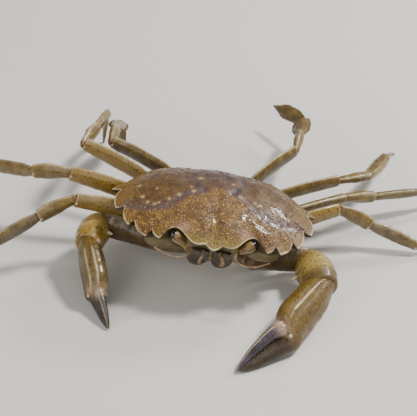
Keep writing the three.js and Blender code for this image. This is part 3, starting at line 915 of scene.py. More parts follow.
def domes(base: Array, normal: Array, first: Array, radius: Array, paint: Paint) -> Skin:
    """Small closed grains, six-sided, half sunk in a surface.

    Args:
        base: (n, 3) places on the surface.
        normal: (n, 3) ways out of it.
        first: (n, 3) ways along it.
        radius: (n,) sizes.
        paint: values per grain.

    Returns:
        All the grains as one skin.
    """
    turn = full_turn(6)
    second = np.cross(normal, first)
    circle = np.cos(turn)[:, None] * first[:, None] + np.sin(turn)[:, None] * second[:, None]
    size = radius[:, None, None]
    foot = base[:, None] + circle * size - normal[:, None] * size * 0.35
    waist = base[:, None] + circle * size * 0.72 + normal[:, None] * size * 0.3
    top = base[:, None] + normal[:, None] * size * 0.55
    sunk = base[:, None] - normal[:, None] * size * 0.6
    points = np.concatenate([foot, waist, top, sunk], axis=1)
    j = np.arange(6)
    k = (j + 1) % 6
    quads = np.column_stack([j, k, k + 6, j + 6])
    caps = np.vstack([
        np.column_stack([j + 6, k + 6, np.full(6, 12)]),
        np.column_stack([k, j, np.full(6, 13)]),
    ])
    starts = np.arange(len(base))[:, None, None] * 14
    flat = {name: np.repeat(value, 14) for name, value in paint.items()}
    faces = (quads + starts).reshape(-1, 4), (caps + starts).reshape(-1, 3)
    return Skin(points.reshape(-1, 3), *faces, flat).outward()


# ------------------------ under the shell


@dataclass
class Underbody:
    """Breastplate, mouth frame and flanks: a rounded block with the plates of the breast cut in."""

    levels: tuple[Four, ...] = (
        (10, 19.5, -17, 20), (8.4, 16.5, -16, 19.5), (6.5, 13.5, -14.6, 18.5), (4, 12, -12.8, 17),
        (1.5, 10.5, -11, 15), (0, 8.5, -8, 12),
    )
    plan_power: float = 2.3
    seams: tuple[float, ...] = (-8.5, -2.5, 3.5, 9.0, 13.5)  # places along of the breast's seams
    cheek: Three = (15.2, -15.4, 8.3)
    cheek_size: Three = (5.2, 2.2, 2.3)
    sides: int = 160
    rows: int = 48

    def build(self, shop: Workshop) -> None:
        """Makes the block.

        Args:
            shop: where its pieces are made.
        """
        z, half, front, back = (np.array(column) for column in zip(*self.levels))
        height = np.linspace(10, 0, self.rows)
        read = lambda value: flowing(z[::-1], value[::-1], height)[:, None]
        turn = full_turn(self.sides)[None]
        power = 2 / self.plan_power
        middle, reach = (read(front) + read(back)) / 2, (read(back) - read(front)) / 2
        x = read(half) * power_wave(np.cos(turn), power)
        y = middle + reach * power_wave(np.sin(turn), power)
        seam = bell(np.min([np.abs(y - line) for line in self.seams], axis=0), 0.45)
        shrink = 1 - 0.035 * seam
        z_all = np.broadcast_to(height[:, None], x.shape)
        rings = np.stack([x * shrink, middle + (y - middle) * shrink, z_all], axis=-1)
        inner = [rings[-1] * [0.9, 0.9, 1] - [0, 0, 0.18], rings[-1] * [0.6, 0.6, 1] - [0, 0, 0.3]]
        rings = np.concatenate([rings, np.array(inner)])
        paint = {"groove": np.concatenate([seam, seam[-1:], seam[-1:]])}
        # The cheeks fill the gap under the front of the shell and take the groove paint at full strength: a
        # dark tone that is painted shade, not a groove.
        cheeks = [
            bead(np.array(self.cheek) * [side.value, 1, 1], self.cheek_size, np.eye(3), "groove")
            for side in Side
        ]
        shop.shell("underbody", joined([closed_rings(rings, paint), *cheeks]).on_trunk(), "under")


@dataclass
class Abdomen:
    """The tail flap, of seven bands, folded forward under the breastplate."""

    path: Route = (
        (22.2, 8.6, 6.5), (21.2, 6.0, 6.4), (19.2, 3.0, 6.2), (16.0, 0.2, 5.8), (12.0, -1.3, 5.2),
        (3.0, -1.4, 4.0), (-6.0, -1.4, 2.0),
    )
    thick: float = 0.8
    rows: int = 96
    bands: int = 7

    def build(self, shop: Workshop) -> None:
        """Makes the flap.

        Args:
            shop: where its pieces are made.
        """
        route = round_spline(np.array(self.path), self.rows)
        run = unit(np.gradient(route[:, :2], axis=0))
        share = np.linspace(0, 1, self.rows)
        seam = bell(np.abs((share * self.bands) % 1 - 0.5) - 0.5, 0.07)
        turn = full_turn(32)
        off = (self.thick * (1 - 0.25 * seam))[:, None] * np.sin(turn)
        x = (route[:, 2] * (1 - 0.03 * seam))[:, None] * power_wave(np.cos(turn), 0.85)
        y, z = route[:, :1] - run[:, 1:] * off, route[:, 1:2] + run[:, :1] * off
        rings = np.stack([x, y, z], axis=-1)
        shop.shell("abdomen", closed_rings(rings, {"groove": seam[:, None]}).on_trunk(), "under")


@dataclass
class MouthPlates:
    """The outer mouth plates under the front, each with a crease across it; the fine hairs of their inner
    edges are not made.
    """

    path: Route = (
        (-17.7, 8.2, 3.1), (-16.7, 5.8, 3.2), (-15.0, 3.1, 2.9), (-13.0, 0.9, 2.0),
    )
    middle: float = 3.6
    rows: int = 40

    def build(self, shop: Workshop) -> None:
        """Makes one plate on each side.

        Args:
            shop: where its pieces are made.
        """
        route = round_spline(np.array(self.path), self.rows)
        turn = full_turn(36)
        crease = bell(np.linspace(0, 1, self.rows) - 0.62, 0.035)
        for side in Side:
            off = (0.75 - 0.2 * crease)[:, None] * power_wave(np.sin(turn), 0.9)[None]
            x = side.value * self.middle + np.cos(turn)[None] * route[:, 2:]
            rings = np.stack([x, route[:, :1] + off * 0.85, route[:, 1:2] + off * 0.5], axis=-1)
            skin = closed_rings(rings, {"groove": crease[:, None]})
            shop.shell(f"mouth_plate_{side.word}", skin.on_trunk(), "mouth")


@dataclass
class Eyes:
    """Stalked eyes: an ochre stalk with a dark, wet cornea over its outer half."""

    base: Three = (8.4, -17.7, 9.7)
    tip: Three = (12.8, -17.4, 12.8)

    def build(self, shop: Workshop) -> None:
        """Makes a stalk and a cornea on each side.

        Args:
            shop: where its pieces are made.
        """
        for side in Side:
            frame, length = STANCE.span(self.base, self.tip, side)
            rows = ((0.25, 1.4, 1.4), (0.5, 1.66, 1.6), (0.7, 1.55, 1.5), (0.86, 0.95, 0.9))
            stations = [Station(0.2, 1.15, 1.15), *sections(rows, length)]
            stalk = Sweep(stations, sides=36, rows=30, squareness=1.0)
            skin = closed_rings(*stalk.straight(frame))
            shop.piece(f"eye_stalk_{side.word}", skin, "stalk", f"eye_{side.word}")
            angle, turn = np.meshgrid(np.radians(np.linspace(6, 118, 22)), full_turn(40), indexing="ij")
            local = np.stack(
                [0.72 * length + 1.4 * np.cos(angle), 0.15 + 1.38 * np.sin(angle) * np.cos(turn),
                 -0.12 + 1.42 * np.sin(angle) * np.sin(turn)], axis=-1,
            )
            shop.piece(f"cornea_{side.word}", closed_rings(frame.place(local)), "cornea")


@dataclass
class Feelers:
    """Long ringed antennae under the eyes, and the short folded antennules between them."""

    antenna: Route = (
        (6.6, -18.9, 8.9), (7.2, -20.8, 7.9), (9.6, -22.3, 7.4), (13.2, -22.6, 7.9), (17.0, -21.6, 9.2),
    )
    antennule: Route = (
        (2.4, -19.6, 8.9), (2.9, -21.4, 8.2), (3.5, -22.0, 7.0), (3.2, -21.4, 6.0), (2.9, -20.9, 6.6),
    )

    def tube(self, points: Array, radius: Array, rings: float) -> Skin:
        """A ringed tube along a route.

        Args:
            points: (n, 3) places over the floor.
            radius: (n,) half thickness.
            rings: how many rings it has.

        Returns:
            The skin, with the rings painted.
        """
        run = unit(np.gradient(points, axis=0))
        side = unit(np.cross(run, UP))
        upper = np.cross(side, run)
        wave = np.cos(np.linspace(0, rings * 2 * math.pi, len(points)))
        size = (radius * (1 + 0.09 * wave))[:, None, None]
        turn = full_turn(14)[None, :, None]
        circle = np.cos(turn) * side[:, None] + np.sin(turn) * upper[:, None]
        return closed_rings(points[:, None] + circle * size, {"groove": smooth(-wave)[:, None]})

    def build(self, shop: Workshop) -> None:
        """Makes both pairs.

        Args:
            shop: where its pieces are made.
        """
        for side in Side:
            t = np.linspace(0, 1, 150)
            route = round_spline(np.array([STANCE.point(p, side) for p in self.antenna]), 150)
            lash = self.tube(route, 0.26 + 0.7 * np.clip(1 - t / 0.3, 0, 1) + 0.06 * (1 - t), 34)
            shop.piece(f"antenna_{side.word}_lash", lash, "feeler", f"antenna_{side.word}")
            t = np.linspace(0, 1, 70)
            route = round_spline(np.array([STANCE.point(p, side) for p in self.antennule]), 70)
            small = self.tube(route, 0.62 - 0.34 * t, 12)
            shop.piece(f"antennule_{side.word}", small, "feeler")


# ------------------------ limbs


def line_mask(turn: Array, centre: float, width: float) -> Array:
    """How near a turn is to a line along a limb, both in degrees round its section."""
    away = turn - math.radians(centre)
    return bell(np.degrees(np.arctan2(np.sin(away), np.cos(away))), width)


def ridged(ridges: Sequence[Three], grain: float, seed: int) -> Shape:
    """Section factor of a limb with raised or sunk lines along it and a little unevenness.

    Args:
        ridges: turn in degrees, width in degrees and height of each line, as a share of the radius.
        grain: size of the unevenness.
        seed: which unevenness.

    Returns:
        The factor, as a function of turn (radians, 90 degrees at the upper edge) and place along.
    """

    def factor(turn: Array, place: Array) -> Array:
        """1 plus the lines and the unevenness."""
        value = np.ones_like(turn)
        for centre, width, height in ridges:
            value += height * line_mask(turn, centre, width)
        uneven = pits(place, 3.0 * np.cos(turn), 1.3, seed)
        uneven = uneven + pits(place, 3.0 * np.sin(turn), 1.1, seed + 1) - 1
        return value + grain * uneven

    return factor


@dataclass(frozen=True)
class Tint:
    """How the colour of an article leans: towards gold, towards purple-brown on its lower side (partly its
    own tone, partly painted shade), or a pale upper edge (partly its own pale crest, partly painted
    highlight).
    """

    gold: float = 0.3
    purple: float = 0.2
    pale: float = 0.5


def limb_skin(sweep: Sweep, frame: Frame, tint: Tint, shape: Shape | None = None) -> Skin:
    """A limb article as a skin with its colour masks.

    Args:
        sweep: its sections.
        frame: its place.
        tint: how its colour leans.
        shape: factor of its section.

    Returns:
        The skin.
    """
    rings, paint = sweep.straight(frame, shape)
    turn = np.arctan2(paint["upper"], paint["side"])
    place = paint["along"]
    end = sweep.stations[-1].s
    # Pale line along the upper edge: partly a pale crest, partly painted highlight.
    paint["ridge"] = tint.pale * line_mask(turn, 90, 15)
    # The purple grows towards the lower side in the finish: partly the shell's own tone, partly painted
    # shade.
    paint["gold"], paint["purple"] = tint.gold, tint.purple
    paint["knuckle"] = smooth((0.6 - place) / 1.2)
    paint["rim"] = 0.5 * smooth((place - end + 0.4) / 0.5) if sweep.lip else 0.0
    return closed_rings(rings, paint)


def condyles(frame: Frame, place: float, wide: float, lift: float, size: float) -> list[Skin]:
    """The two pale hinge knobs on either side of a joint."""
    spots = [np.array([place, sign * wide, lift]) for sign in (-1, 1)]
    return [bead(frame.place(spot), (size, 0.45 * size, size), frame.axes) for spot in spots]


@dataclass(frozen=True)
class Article:
    """Half heights and half widths of a leg article at its knuckle, body and end."""

    name: str
    knuckle: Two
    body: Two
    end: Two
    bow: float
    roll: float = 0.0
    neck: float = 0.95  # girth just beyond the knuckle, as a share of the body's


BASE_TINT = Tint(0.2, 0.3, 0.1)
DACTYL = 3  # index of the last article
TIP = (0.45, 0.45)  # half height and half width at the end of a dactyl
TIP_SINK = 0.16  # how far a tip presses below the floor, so that it stands on a small flat
LEG_ARTICLES = (
    Article("merus", (1.9, 1.5), (3.05, 1.5), (2.5, 1.6), 0.5),
    Article("carpus", (1.7, 1.4), (2.6, 1.9), (2.3, 1.8), 0.4, neck=0.8),
    Article("propodus", (1.5, 1.3), (2.35, 1.4), (1.65, 1.2), 0.1),
    Article("dactyl", (1.1, 0.95), (1.3, 0.85), TIP, 0.9),
)
PADDLE_ARTICLES = (
    *LEG_ARTICLES[:2],
    Article("propodus", (1.6, 1.2), (3.0, 1.1), (2.3, 1.0), 0.0, 75),
    Article("dactyl", (1.3, 0.8), (2.5, 0.75), TIP, 0.0, 40),
)


@dataclass
class Limb:
    """A leg or claw, from its joints on the trunk out through four more articles.

    An elevation of None lets an article down until its tip stands on the floor.
    """

    side: Side
    lengths: Four
    coxa: Three
    hip: Three
    girth: float
    azimuth: Four
    elevation: tuple[float | None, ...]

    @property
    def rolls(self) -> Sequence[float]:
        """Degrees by which each article is rolled about its length."""
        raise NotImplementedError

    def rise(self, index: int, height: float) -> float:
        """Elevation of an article, found from its joint's height where it rests on the floor.

        Args:
            index: which article.
            height: its joint's height.

        Returns:
            Degrees over the level.
        """
        if self.elevation[index] is not None:
            return self.elevation[index]
        angle = 0.0
        for _ in range(6):
            tip = TIP[0] * math.cos(angle) - TIP_SINK
            angle = math.asin(max(-1.0, (tip - height) / self.lengths[index]))
        return math.degrees(angle)

    def frames(self) -> list[Frame]:
        """Places of its four outer articles.

        Returns:
            Their frames, each at its own joint.
        """
        joint = STANCE.point(self.hip, self.side)
        found = []
        for i, roll in enumerate(self.rolls):
            way = direction(self.azimuth[i], self.rise(i, joint[2]))
            found.append(Frame.along(joint, way, roll))
            joint = joint + way * self.lengths[i]
        return found


@dataclass
class WalkingLeg(Limb):
    """One leg: base, merus, carpus, propodus and dactyl."""

    pair: int
    lean: float = 0.0
    twist: tuple[float, ...] = (0.0, 0.0, 0.0, 0.0)
    tints: tuple[Tint, ...] = (Tint(),) * 4

    @property
    def prefix(self) -> str:
        """Start of its nodes' names."""
        return f"leg_{self.side.word}_{self.pair}"

    @property
    def articles(self) -> tuple[Article, ...]:
        """Its four outer articles."""
        return PADDLE_ARTICLES if self.pair == 5 else LEG_ARTICLES

    @property
    def rolls(self) -> Sequence[float]:
        """Degrees by which each article is rolled about its length."""
        own = (article.roll * self.side.value or self.lean for article in self.articles)
        return [roll + twist for roll, twist in zip(own, self.twist)]

    def stations(self, index: int, cover: float = 0.45) -> tuple[Station, ...]:
        """Sections of one article.

        Args:
            index: which article.
            cover: how far its end runs on over the next knuckle, as a share of that knuckle.

        Returns:
            Its sections, from the middle of its own knuckle.
        """
        article, length, girth = self.articles[index], self.lengths[index], self.girth
        high, wide = (value * girth for value in article.body)
        end_high, end_wide = (value * girth for value in article.end)
        end = length
        if index < DACTYL:
            next_knuckle = self.articles[index + 1].knuckle[0] * girth
            end -= next_knuckle * (1 - cover) + (0 if cover else GAP)
        lift = lambda share: article.bow * math.sin(math.pi * share)
        return (
            Station(0, article.knuckle[0] * girth, article.knuckle[1] * girth),
            Station(0.22 * length, article.neck * high, article.neck * wide, lift(0.22)),
            Station(0.55 * length, high, wide, lift(0.55)),
            Station(end, end_high, end_wide, lift(end / length)),
        )

    def coarse_lowest(self, index: int) -> Array:
        """Lowest corner of the solid of one article, made with few sides as the solid is.

        Args:
            index: which article.

        Returns:
            The least x, y and z over the floor.
        """
        article = self.articles[index]
        high, wide = (value * self.girth for value in article.knuckle)
        turn = math.radians(35)
        back = Station(-high * math.cos(turn), high * math.sin(turn), wide * math.sin(turn))
        frame = self.frames()[index]
        around = full_turn(8)
        stations = (back, *self.stations(index, cover=0.0))
        rings = [
            np.column_stack([np.full(8, st.s), st.w * np.cos(around), st.z + st.h * np.sin(around)])
            for st in stations
        ]
        return frame.place(np.vstack(rings)).min(axis=0)

    def shape(self, index: int) -> Shape:
        """Section factor of one article: a crest above, shallow furrows beside it, fine bumps.

        Args:
            index: which article.

        Returns:
            The factor, as a function of turn and place.
        """
        seed = 40 + 10 * self.pair + index
        if self.articles[index].roll:
            ridges = ((90, 12, 0.06), (-90, 12, 0.06), (0, 16, 0.16), (180, 16, 0.16))
        else:
            ridges = ((90, 16, 0.10), (55, 14, -0.05), (125, 14, -0.05), (-90, 20, 0.06), (0, 22, -0.04))
        return ridged(ridges, 0.035, seed)

    def build(self, shop: Workshop) -> None:
        """Makes the base and the four outer articles.

        Args:
            shop: where its pieces are made.
        """
        girth = self.girth
        frame, length = STANCE.span(self.coxa, self.hip, self.side)
        end = length - LEG_ARTICLES[0].knuckle[0] * girth * 0.6
        stations = sections(((0, 2.5, 2.4), (0.6, 2.5, 2.2), (1, 2.0, 1.7)), end, girth, girth)
        base = Sweep(stations, rows=24, lip=0.3 * girth)
        shop.shell(f"{self.prefix}_base", limb_skin(base, frame, BASE_TINT, self.shape(0)), "leg")
        hairs = []
        for i, (article, frame) in enumerate(zip(self.articles, self.frames())):
            stations, length, shape = self.stations(i), self.lengths[i], self.shape(i)
            if i == DACTYL:
                point = (
                    Station(0.86 * length, 0.62, 0.55, 0.35 * article.bow),
                    Station(length, TIP[0] * 0.8, TIP[1] * 0.8),
                )
                sweep = Sweep((*stations[:-1], *point), sides=36, rows=60)
                skin = limb_skin(sweep, frame, self.tints[i], shape).resting()
            else:
                sweep = Sweep(stations, sides=44, rows=60, lip=0.42 * girth)
                wide = 0.94 * article.end[1] * girth
                knobs = condyles(frame, stations[-1].s - 0.1, wide, 0.0, 0.42 * girth)
                skin = joined([limb_skin(sweep, frame, self.tints[i], shape), *knobs])
            shop.shell(f"{self.prefix}_{article.name}", skin, "leg")
            if i >= 2:
                fringe = PADDLE_FRINGE if self.pair == 5 else LEG_FRINGE
                seed = 300 + 10 * self.pair + i + (50 if self.side is Side.LEFT else 0)
                rings, _ = sweep.straight(frame, shape)
                hairs.append(fringe.skin(rings, (0.5 * (i - 2), 0.48), seed))
        shop.piece(f"{self.prefix}_fringe", joined(hairs).resting(), "hair")


@dataclass
class Claw(Limb):
    """One claw: base, arm, wrist, hand with its fixed finger, and moving finger."""

    palm: Two
    fingers: Two
    roll: float
    # The pale tone of the palm's ridges and of the paler crest is partly painted highlight.
    ridges: tuple[float, ...]  # turns of the palm's long pale ridges
    crests: Two  # turns of the moving finger's crests, the paler one first
    tint: Tint
    spine_lean: float = 76.0

    @property
    def prefix(self) -> str:
        """Start of its nodes' names."""
        return f"claw_{self.side.word}"

    @property
    def strong(self) -> bool:
        """Whether it is the larger claw."""
        return self.side is Side.LEFT

    @property
    def seed(self) -> int:
        """Which unevenness its articles have."""
        return 100 if self.strong else 200

    @property
    def rolls(self) -> Sequence[float]:
        """Degrees by which each article is rolled about its length."""
        return 0.0, 0.5 * self.roll, self.roll, self.roll

    def bent(
        self, palm: Frame, finger: Frame, turn_length: float = 5.0
    ) -> Callable[[Array], tuple[Array, Array]]:
        """The curved line of the hand: along the palm, then along the fingers, eased at the hinge.

        Args:
            palm: frame of the palm.
            finger: frame of the fingers.
            turn_length: how far the easing reaches to either side of the hinge.

        Returns:
            A function that gives the origin and axes at places along the hand.
        """
        length = self.lengths[2]

        def at(reach: Array) -> tuple[Array, Array]:
            """Origin and axes, blended from the palm's to the finger's."""
            share = smooth((reach - length + turn_length) / (2 * turn_length))[:, None]
            on_palm = palm.origin + reach[:, None] * palm.axes[:, 0]
            on_finger = finger.origin + (reach[:, None] - length) * finger.axes[:, 0]
            way = unit(palm.axes[:, 0] * (1 - share) + finger.axes[:, 0] * share)
            across = unit(np.cross(palm.axes[:, 2] * (1 - share) + finger.axes[:, 2] * share, way))
            axes = np.stack([way, across, np.cross(way, across)], axis=-1)
            return on_palm * (1 - share) + on_finger * share, axes

        return at

    def hand_shape(self) -> Shape:
        """Section factor of the hand: the palm's long ridges, and teeth on the fixed finger.

        Returns:
            The factor, as a function of turn and place.
        """
        raised = [(ridge, 7, 0.045) for ridge in self.ridges]
        sunk = [(ridge - 16, 9, -0.03) for ridge in self.ridges]
        plain = ridged([*raised, *sunk, (-90, 25, 0.03)], 0.022, self.seed)

        def shape(turn: Array, place: Array) -> Array:
            """Ridges that fade on the finger, where the rounded teeth begin."""
            finger = smooth((place - self.lengths[2] - 1) / 4)
            teeth = line_mask(turn, 90, 22) * (0.35 + 0.65 * np.sin(place * 2.7) ** 2)
            return 1 + (plain(turn, place) - 1) * (1 - 0.6 * finger) + 0.24 * teeth * finger

        return shape

    def hand(self, palm: Frame, finger: Frame) -> Skin:
        """The palm, deepest in its outer half, running on into the fixed finger below its hinge.

        Args:
            palm: frame of the palm.
            finger: frame of the fingers.

        Returns:
            The skin.
        """
        length, reach = self.lengths[2:]
        broad_part = (
            (0, 0.6, 0.82), (0.16, 0.82, 0.92), (0.4, 0.95, 1), (0.7, 1, 0.98, 0.03),
            (0.87, 0.92, 0.92, -0.04), (0.97, 0.68, 0.8, -0.28),
        )
        narrow_part = (
            (0.06, 0.5, 0.62, -0.46), (0.35, 0.38, 0.42, -0.4), (0.68, 0.27, 0.3, -0.28),
            (0.9, 0.14, 0.16, -0.15), (0.96, 0.04, 0.06, -0.11),
        )
        stations = sections(broad_part, length, *self.palm)
        stations += sections(narrow_part, reach, *self.fingers, start=length)
        rings, paint = Sweep(stations, sides=88, rows=190).rings(self.bent(palm, finger), self.hand_shape())
        turn = np.arctan2(paint["upper"], paint["side"])
        place = paint["along"]
        out = smooth((place - length + 1.5) / (0.35 * reach))
        wide, end, tip, rim = (3.2, 0.66, 0.85, 0.35) if self.strong else (4.5, 0.9, 1.0, 0.8)
        lines = sum(line_mask(turn, ridge, wide) for ridge in self.ridges)
        fade = 1 - smooth((place - end * length) / 3)
        # Pale lines along the palm's ridges: partly pale shell, partly painted highlight.
        paint["ridge"] = 0.95 * lines * smooth((place - 0.14 * length) / 2) * fade
        paint["gold"] = self.tint.gold * (1 - out)
        # Purple on the lower side, full on the fingers: partly their own tone, partly painted shade.
        paint["purple"] = self.tint.purple + (1 - self.tint.purple) * out
        # Dark towards the finger tips: partly the fingers' own dark tone, partly painted shade on the fixed
        # finger.
        paint["dark"] = out * tip
        paint["knuckle"] = 0.8 * smooth((0.4 - place) / 1.2)
        hinge = bell(place - 0.95 * length, 1.0) * smooth((paint["upper"] + 0.1) / 0.5)
        paint["rim"] = rim * hinge
        return closed_rings(rings, paint)

    def arm(self, frame: Frame) -> Skin:
        """The arm, three-edged and widest towards the wrist, olive between its edges and darkened all over
        with painted shade.

        Args:
            frame: its place.

        Returns:
            The skin.
        """
        length = self.lengths[0]
        stations = sections(((0, 2.9, 2.6), (0.35, 3.4, 2.9), (0.75, 4.1, 3.3)), length)
        sweep = Sweep([*stations, Station(length - 1.4, 3.7, 3.2)], sides=64, rows=70, lip=0.4)
        shape = ridged(((90, 18, 0.12), (200, 22, 0.08), (-20, 22, 0.08)), 0.03, self.seed)
        skin = limb_skin(sweep, frame, Tint(0.2, 0.5, 0.4), shape)
        # Darker all over: painted shade of the shadow the arm lies in.
        skin.paint["dark"] = 0.4
        return skin

    def wrist(self, frame: Frame) -> Skin:
        """The wrist, a stout block, pale yellow above, partly painted highlight, with purple-brown patches
        towards the hand.

        Args:
            frame: its place.

        Returns:
            The skin.
        """
        length, g = self.lengths[1], self.girth
        stations = sections(((0.2, 4.7, 4.6), (0.5, 4.9, 5.6), (0.8, 4.9, 5.4)), length, g, g)
        stations = [Station(0, 2.7, 2.7), *stations, Station(length + 0.7, 4.3 * g, 4.4 * g)]
        shape = ridged(((90, 24, 0.03), (30, 16, -0.03)), 0.03, self.seed)
        tint = Tint(0.6 if self.strong else 1.0, 0.1, 0.0)
        skin = limb_skin(Sweep(stations, sides=80, rows=80, lip=0.35), frame, tint, shape)
        place = skin.painted("along")
        # Straw on the upper face about the middle: partly the wrist's pale tone, partly painted highlight.
        light = smooth((skin.painted("upper") + 0.1) / 0.8) * bell(place - 0.55 * length, 0.3 * length)
        skin.paint["straw"] = light * (0.85 if self.strong else 1.0)
        skin.paint["dark"] = 0.5 * smooth((place - 0.72 * length) / 2.5) * self.strong
        skin.paint["rim"] *= 0.15
        skin.paint["knuckle"] *= 0.3
        return skin

    def spine(self, frame: Frame) -> Skin:
        """The short spine on the inner side of the wrist, leaning forwards.

        Args:
            frame: the wrist's place.

        Returns:
            The skin.
        """
        lean, length = math.radians(self.spine_lean), self.lengths[1]
        local = np.array([math.cos(lean), -self.side.value * math.sin(lean), 0.0])
        way = frame.axes @ local
        inset = (4.9 if self.strong else 4.2) * self.girth
        middle = frame.place(np.array([0.56 * length, -self.side.value * inset, 1.8]))
        stations = sections(((0, 1.7, 1.7), (1.6, 1.25, 1.2), (3.4, 0.6, 0.58), (4.6, 0.18, 0.18)), 1.0)
        sweep = Sweep(stations, sides=32, rows=30, squareness=1.0)
        skin = limb_skin(sweep, Frame.along(middle - way * 2.3, way), Tint(0.4, 0.1, 0.0))
        skin.paint["mark"] = smooth((skin.painted("along") - 2.2) / 2.0)
        skin.paint["knuckle"] = 0.0
        return skin

    def moving_finger(self, frame: Frame) -> Skin:
        """The moving finger, hooked at its tip: a pale crest, partly painted highlight, a brown one, a dark
        furrow between.

        Args:
            frame: its place.

        Returns:
            The skin.
        """
        crest, second = self.crests
        middle = (crest + second) / 2
        beyond = 2 * crest - middle
        ridges = ((crest, 11, 0.08), (middle, 8, -0.10), (second, 11, 0.06), (beyond, 12, -0.05))
        plain = ridged(ridges, 0.02, self.seed + 6)

        def shape(turn: Array, place: Array) -> Array:
            """Crests, furrows and rounded teeth."""
            teeth = line_mask(turn, -90, 20) * (0.35 + 0.65 * np.cos(place * 2.9) ** 2)
            return plain(turn, place) + 0.24 * teeth * smooth((place - 1) / 3)

        rows = (
            (0, 0.42, 0.58, 0.3), (0.2, 0.3, 0.42, 0.37), (0.5, 0.24, 0.32, 0.3),
            (0.8, 0.16, 0.21, 0.14), (0.95, 0.09, 0.12, 0.0), (1, 0.03, 0.04, -0.06),
        )
        sweep = Sweep(sections(rows, self.lengths[3], *self.fingers), sides=56, rows=110)
        skin = limb_skin(sweep, frame, Tint(0.0, 0.6, 0.0), shape)
        turn = np.arctan2(skin.painted("upper"), skin.painted("side"))
        place = skin.painted("along")
        start = smooth((place - 0.5) / 2.0)
        fade = 1 - 0.5 * smooth((place - 0.8 * self.lengths[3]) / 3)
        # Pale line along the first crest: partly its own pale tone, partly painted highlight of the edge
        # catching light.
        skin.paint["ridge"] = line_mask(turn, crest, 8) * start * fade
        skin.paint["gold"] = 0.8 * line_mask(turn, second, 10) * start + 0.5 * (1 - start)
        skin.paint["knuckle"] = 0.0
        skin.paint["blush"] = 0.8 * bell(place - 0.3, 1.6)
        skin.paint["dark"] = 0.0 if self.strong else 0.6
        return skin

    def build(self, shop: Workshop) -> None:
        """Makes the five pieces of the claw.

        Args:
            shop: where its pieces are made.
        """
        arm, wrist, palm, finger = self.frames()
        frame, length = STANCE.span(self.coxa, self.hip, self.side)
        base = Sweep(
            (Station(0, 2.9, 3.2), Station(0.6 * length - 1.9, 3.0, 3.1), Station(length - 1.8, 2.6, 2.5)),
            sides=48, rows=24, lip=0.35,
        )
        plain = ridged(((90, 20, 0.04), (-90, 25, 0.04)), 0.03, self.seed)
        inner = np.array([self.lengths[1] + 0.2, -3.1 * self.side.value * self.girth, 0.6])
        membrane = bead(wrist.place(inner), (1.9 * self.girth, 1.3, 2.3), wrist.axes, "blush")
        wrist_knobs = condyles(wrist, self.lengths[1] - 0.4, 3.9 * self.girth, 0.0, 0.8)
        hand_knobs = condyles(finger, -0.2, 0.79 * self.palm[1], -0.08 * self.palm[0], 0.58)
        made = {
            "base": [limb_skin(base, frame, BASE_TINT, plain)],
            "arm": [self.arm(arm)],
            "wrist": [self.wrist(wrist), self.spine(wrist), *wrist_knobs, membrane],
            "hand": [self.hand(palm, finger), *hand_knobs],
            "finger": [self.moving_finger(finger)],
        }
        for part, skins in made.items():
            look = "finger" if part == "finger" else "claw"
            shop.shell(f"{self.prefix}_{part}", joined(skins).resting(), look)


OLIVE, BRIGHT = Tint(0.3, 0.25, 0.5), Tint(1.0, 0.2, 0.5)
DUSKY, STRAW = Tint(0.15, 0.8, 0.7), Tint(0.25, 0.1, 0.95)
SECOND = {"lengths": (23.7, 12, 17, 18), "coxa": (10, 2.5, 4), "hip": (19.2, 1.7, 6.7), "girth": 1.0}
THIRD = {"lengths": (25.6, 12.5, 18.5, 19.5), "coxa": (10, 7, 4.5), "hip": (19.8, 9, 7.9), "girth": 1.0}
FOURTH = {"lengths": (25.7, 12, 17, 18), "coxa": (10.5, 11.5, 5.5), "hip": (18.3, 17.4, 9.6), "girth": 0.93}
FIFTH = {"lengths": (23.2, 10.5, 13.5, 14.5), "coxa": (7, 15, 5.5), "hip": (11.8, 24.2, 9.4), "girth": 0.88}
LEGS = (
    WalkingLeg(Side.LEFT, pair=2, azimuth=(25, 2, -8, 12), elevation=(6, -29, -21, None), lean=10,
               tints=(BRIGHT, OLIVE, Tint(0.15, 0.5, 1.0), DUSKY), **SECOND),
    WalkingLeg(Side.LEFT, pair=3, azimuth=(25, 33, 20, 28), elevation=(2, -18, -5, None), lean=35,
               tints=(STRAW, OLIVE, DUSKY, DUSKY), **THIRD),
    WalkingLeg(Side.LEFT, pair=4, azimuth=(25, 30, 64, 73), elevation=(2, -9, -8, None), lean=15,
               twist=(0, 35, 70, 60), tints=(OLIVE, OLIVE, Tint(0.25, 0.35, 0.8), DUSKY), **FOURTH),
    WalkingLeg(Side.LEFT, pair=5, azimuth=(46, 79, 82, 131), elevation=(9, -3, -12, -8),
               tints=(DUSKY, OLIVE, Tint(0.3, 0.6, 0.5), Tint(0.2, 0.5, 0.7)), **FIFTH),
    WalkingLeg(Side.RIGHT, pair=2, azimuth=(188, 203, 195, 188), elevation=(16.2, -19, -31, None), lean=-5,
               tints=(Tint(0.6, 0.2, 1.0), OLIVE, DUSKY, DUSKY), **SECOND),
    WalkingLeg(Side.RIGHT, pair=3, azimuth=(174, 161, 149, 156), elevation=(15, -14, -16, None),
               tints=(BRIGHT, Tint(0.5, 0.4, 1.0), OLIVE, DUSKY), **THIRD),
    WalkingLeg(Side.RIGHT, pair=4, azimuth=(157, 75, 80, 105), elevation=(15, -8, -17, None),
               tints=(Tint(0.9, 0.2, 0.9), STRAW, OLIVE, OLIVE), **FOURTH),
    WalkingLeg(Side.RIGHT, pair=5, azimuth=(161, 85, 85, 95), elevation=(18, -12, -25, None),
               tints=(DUSKY, OLIVE, STRAW, OLIVE), **FIFTH),
)
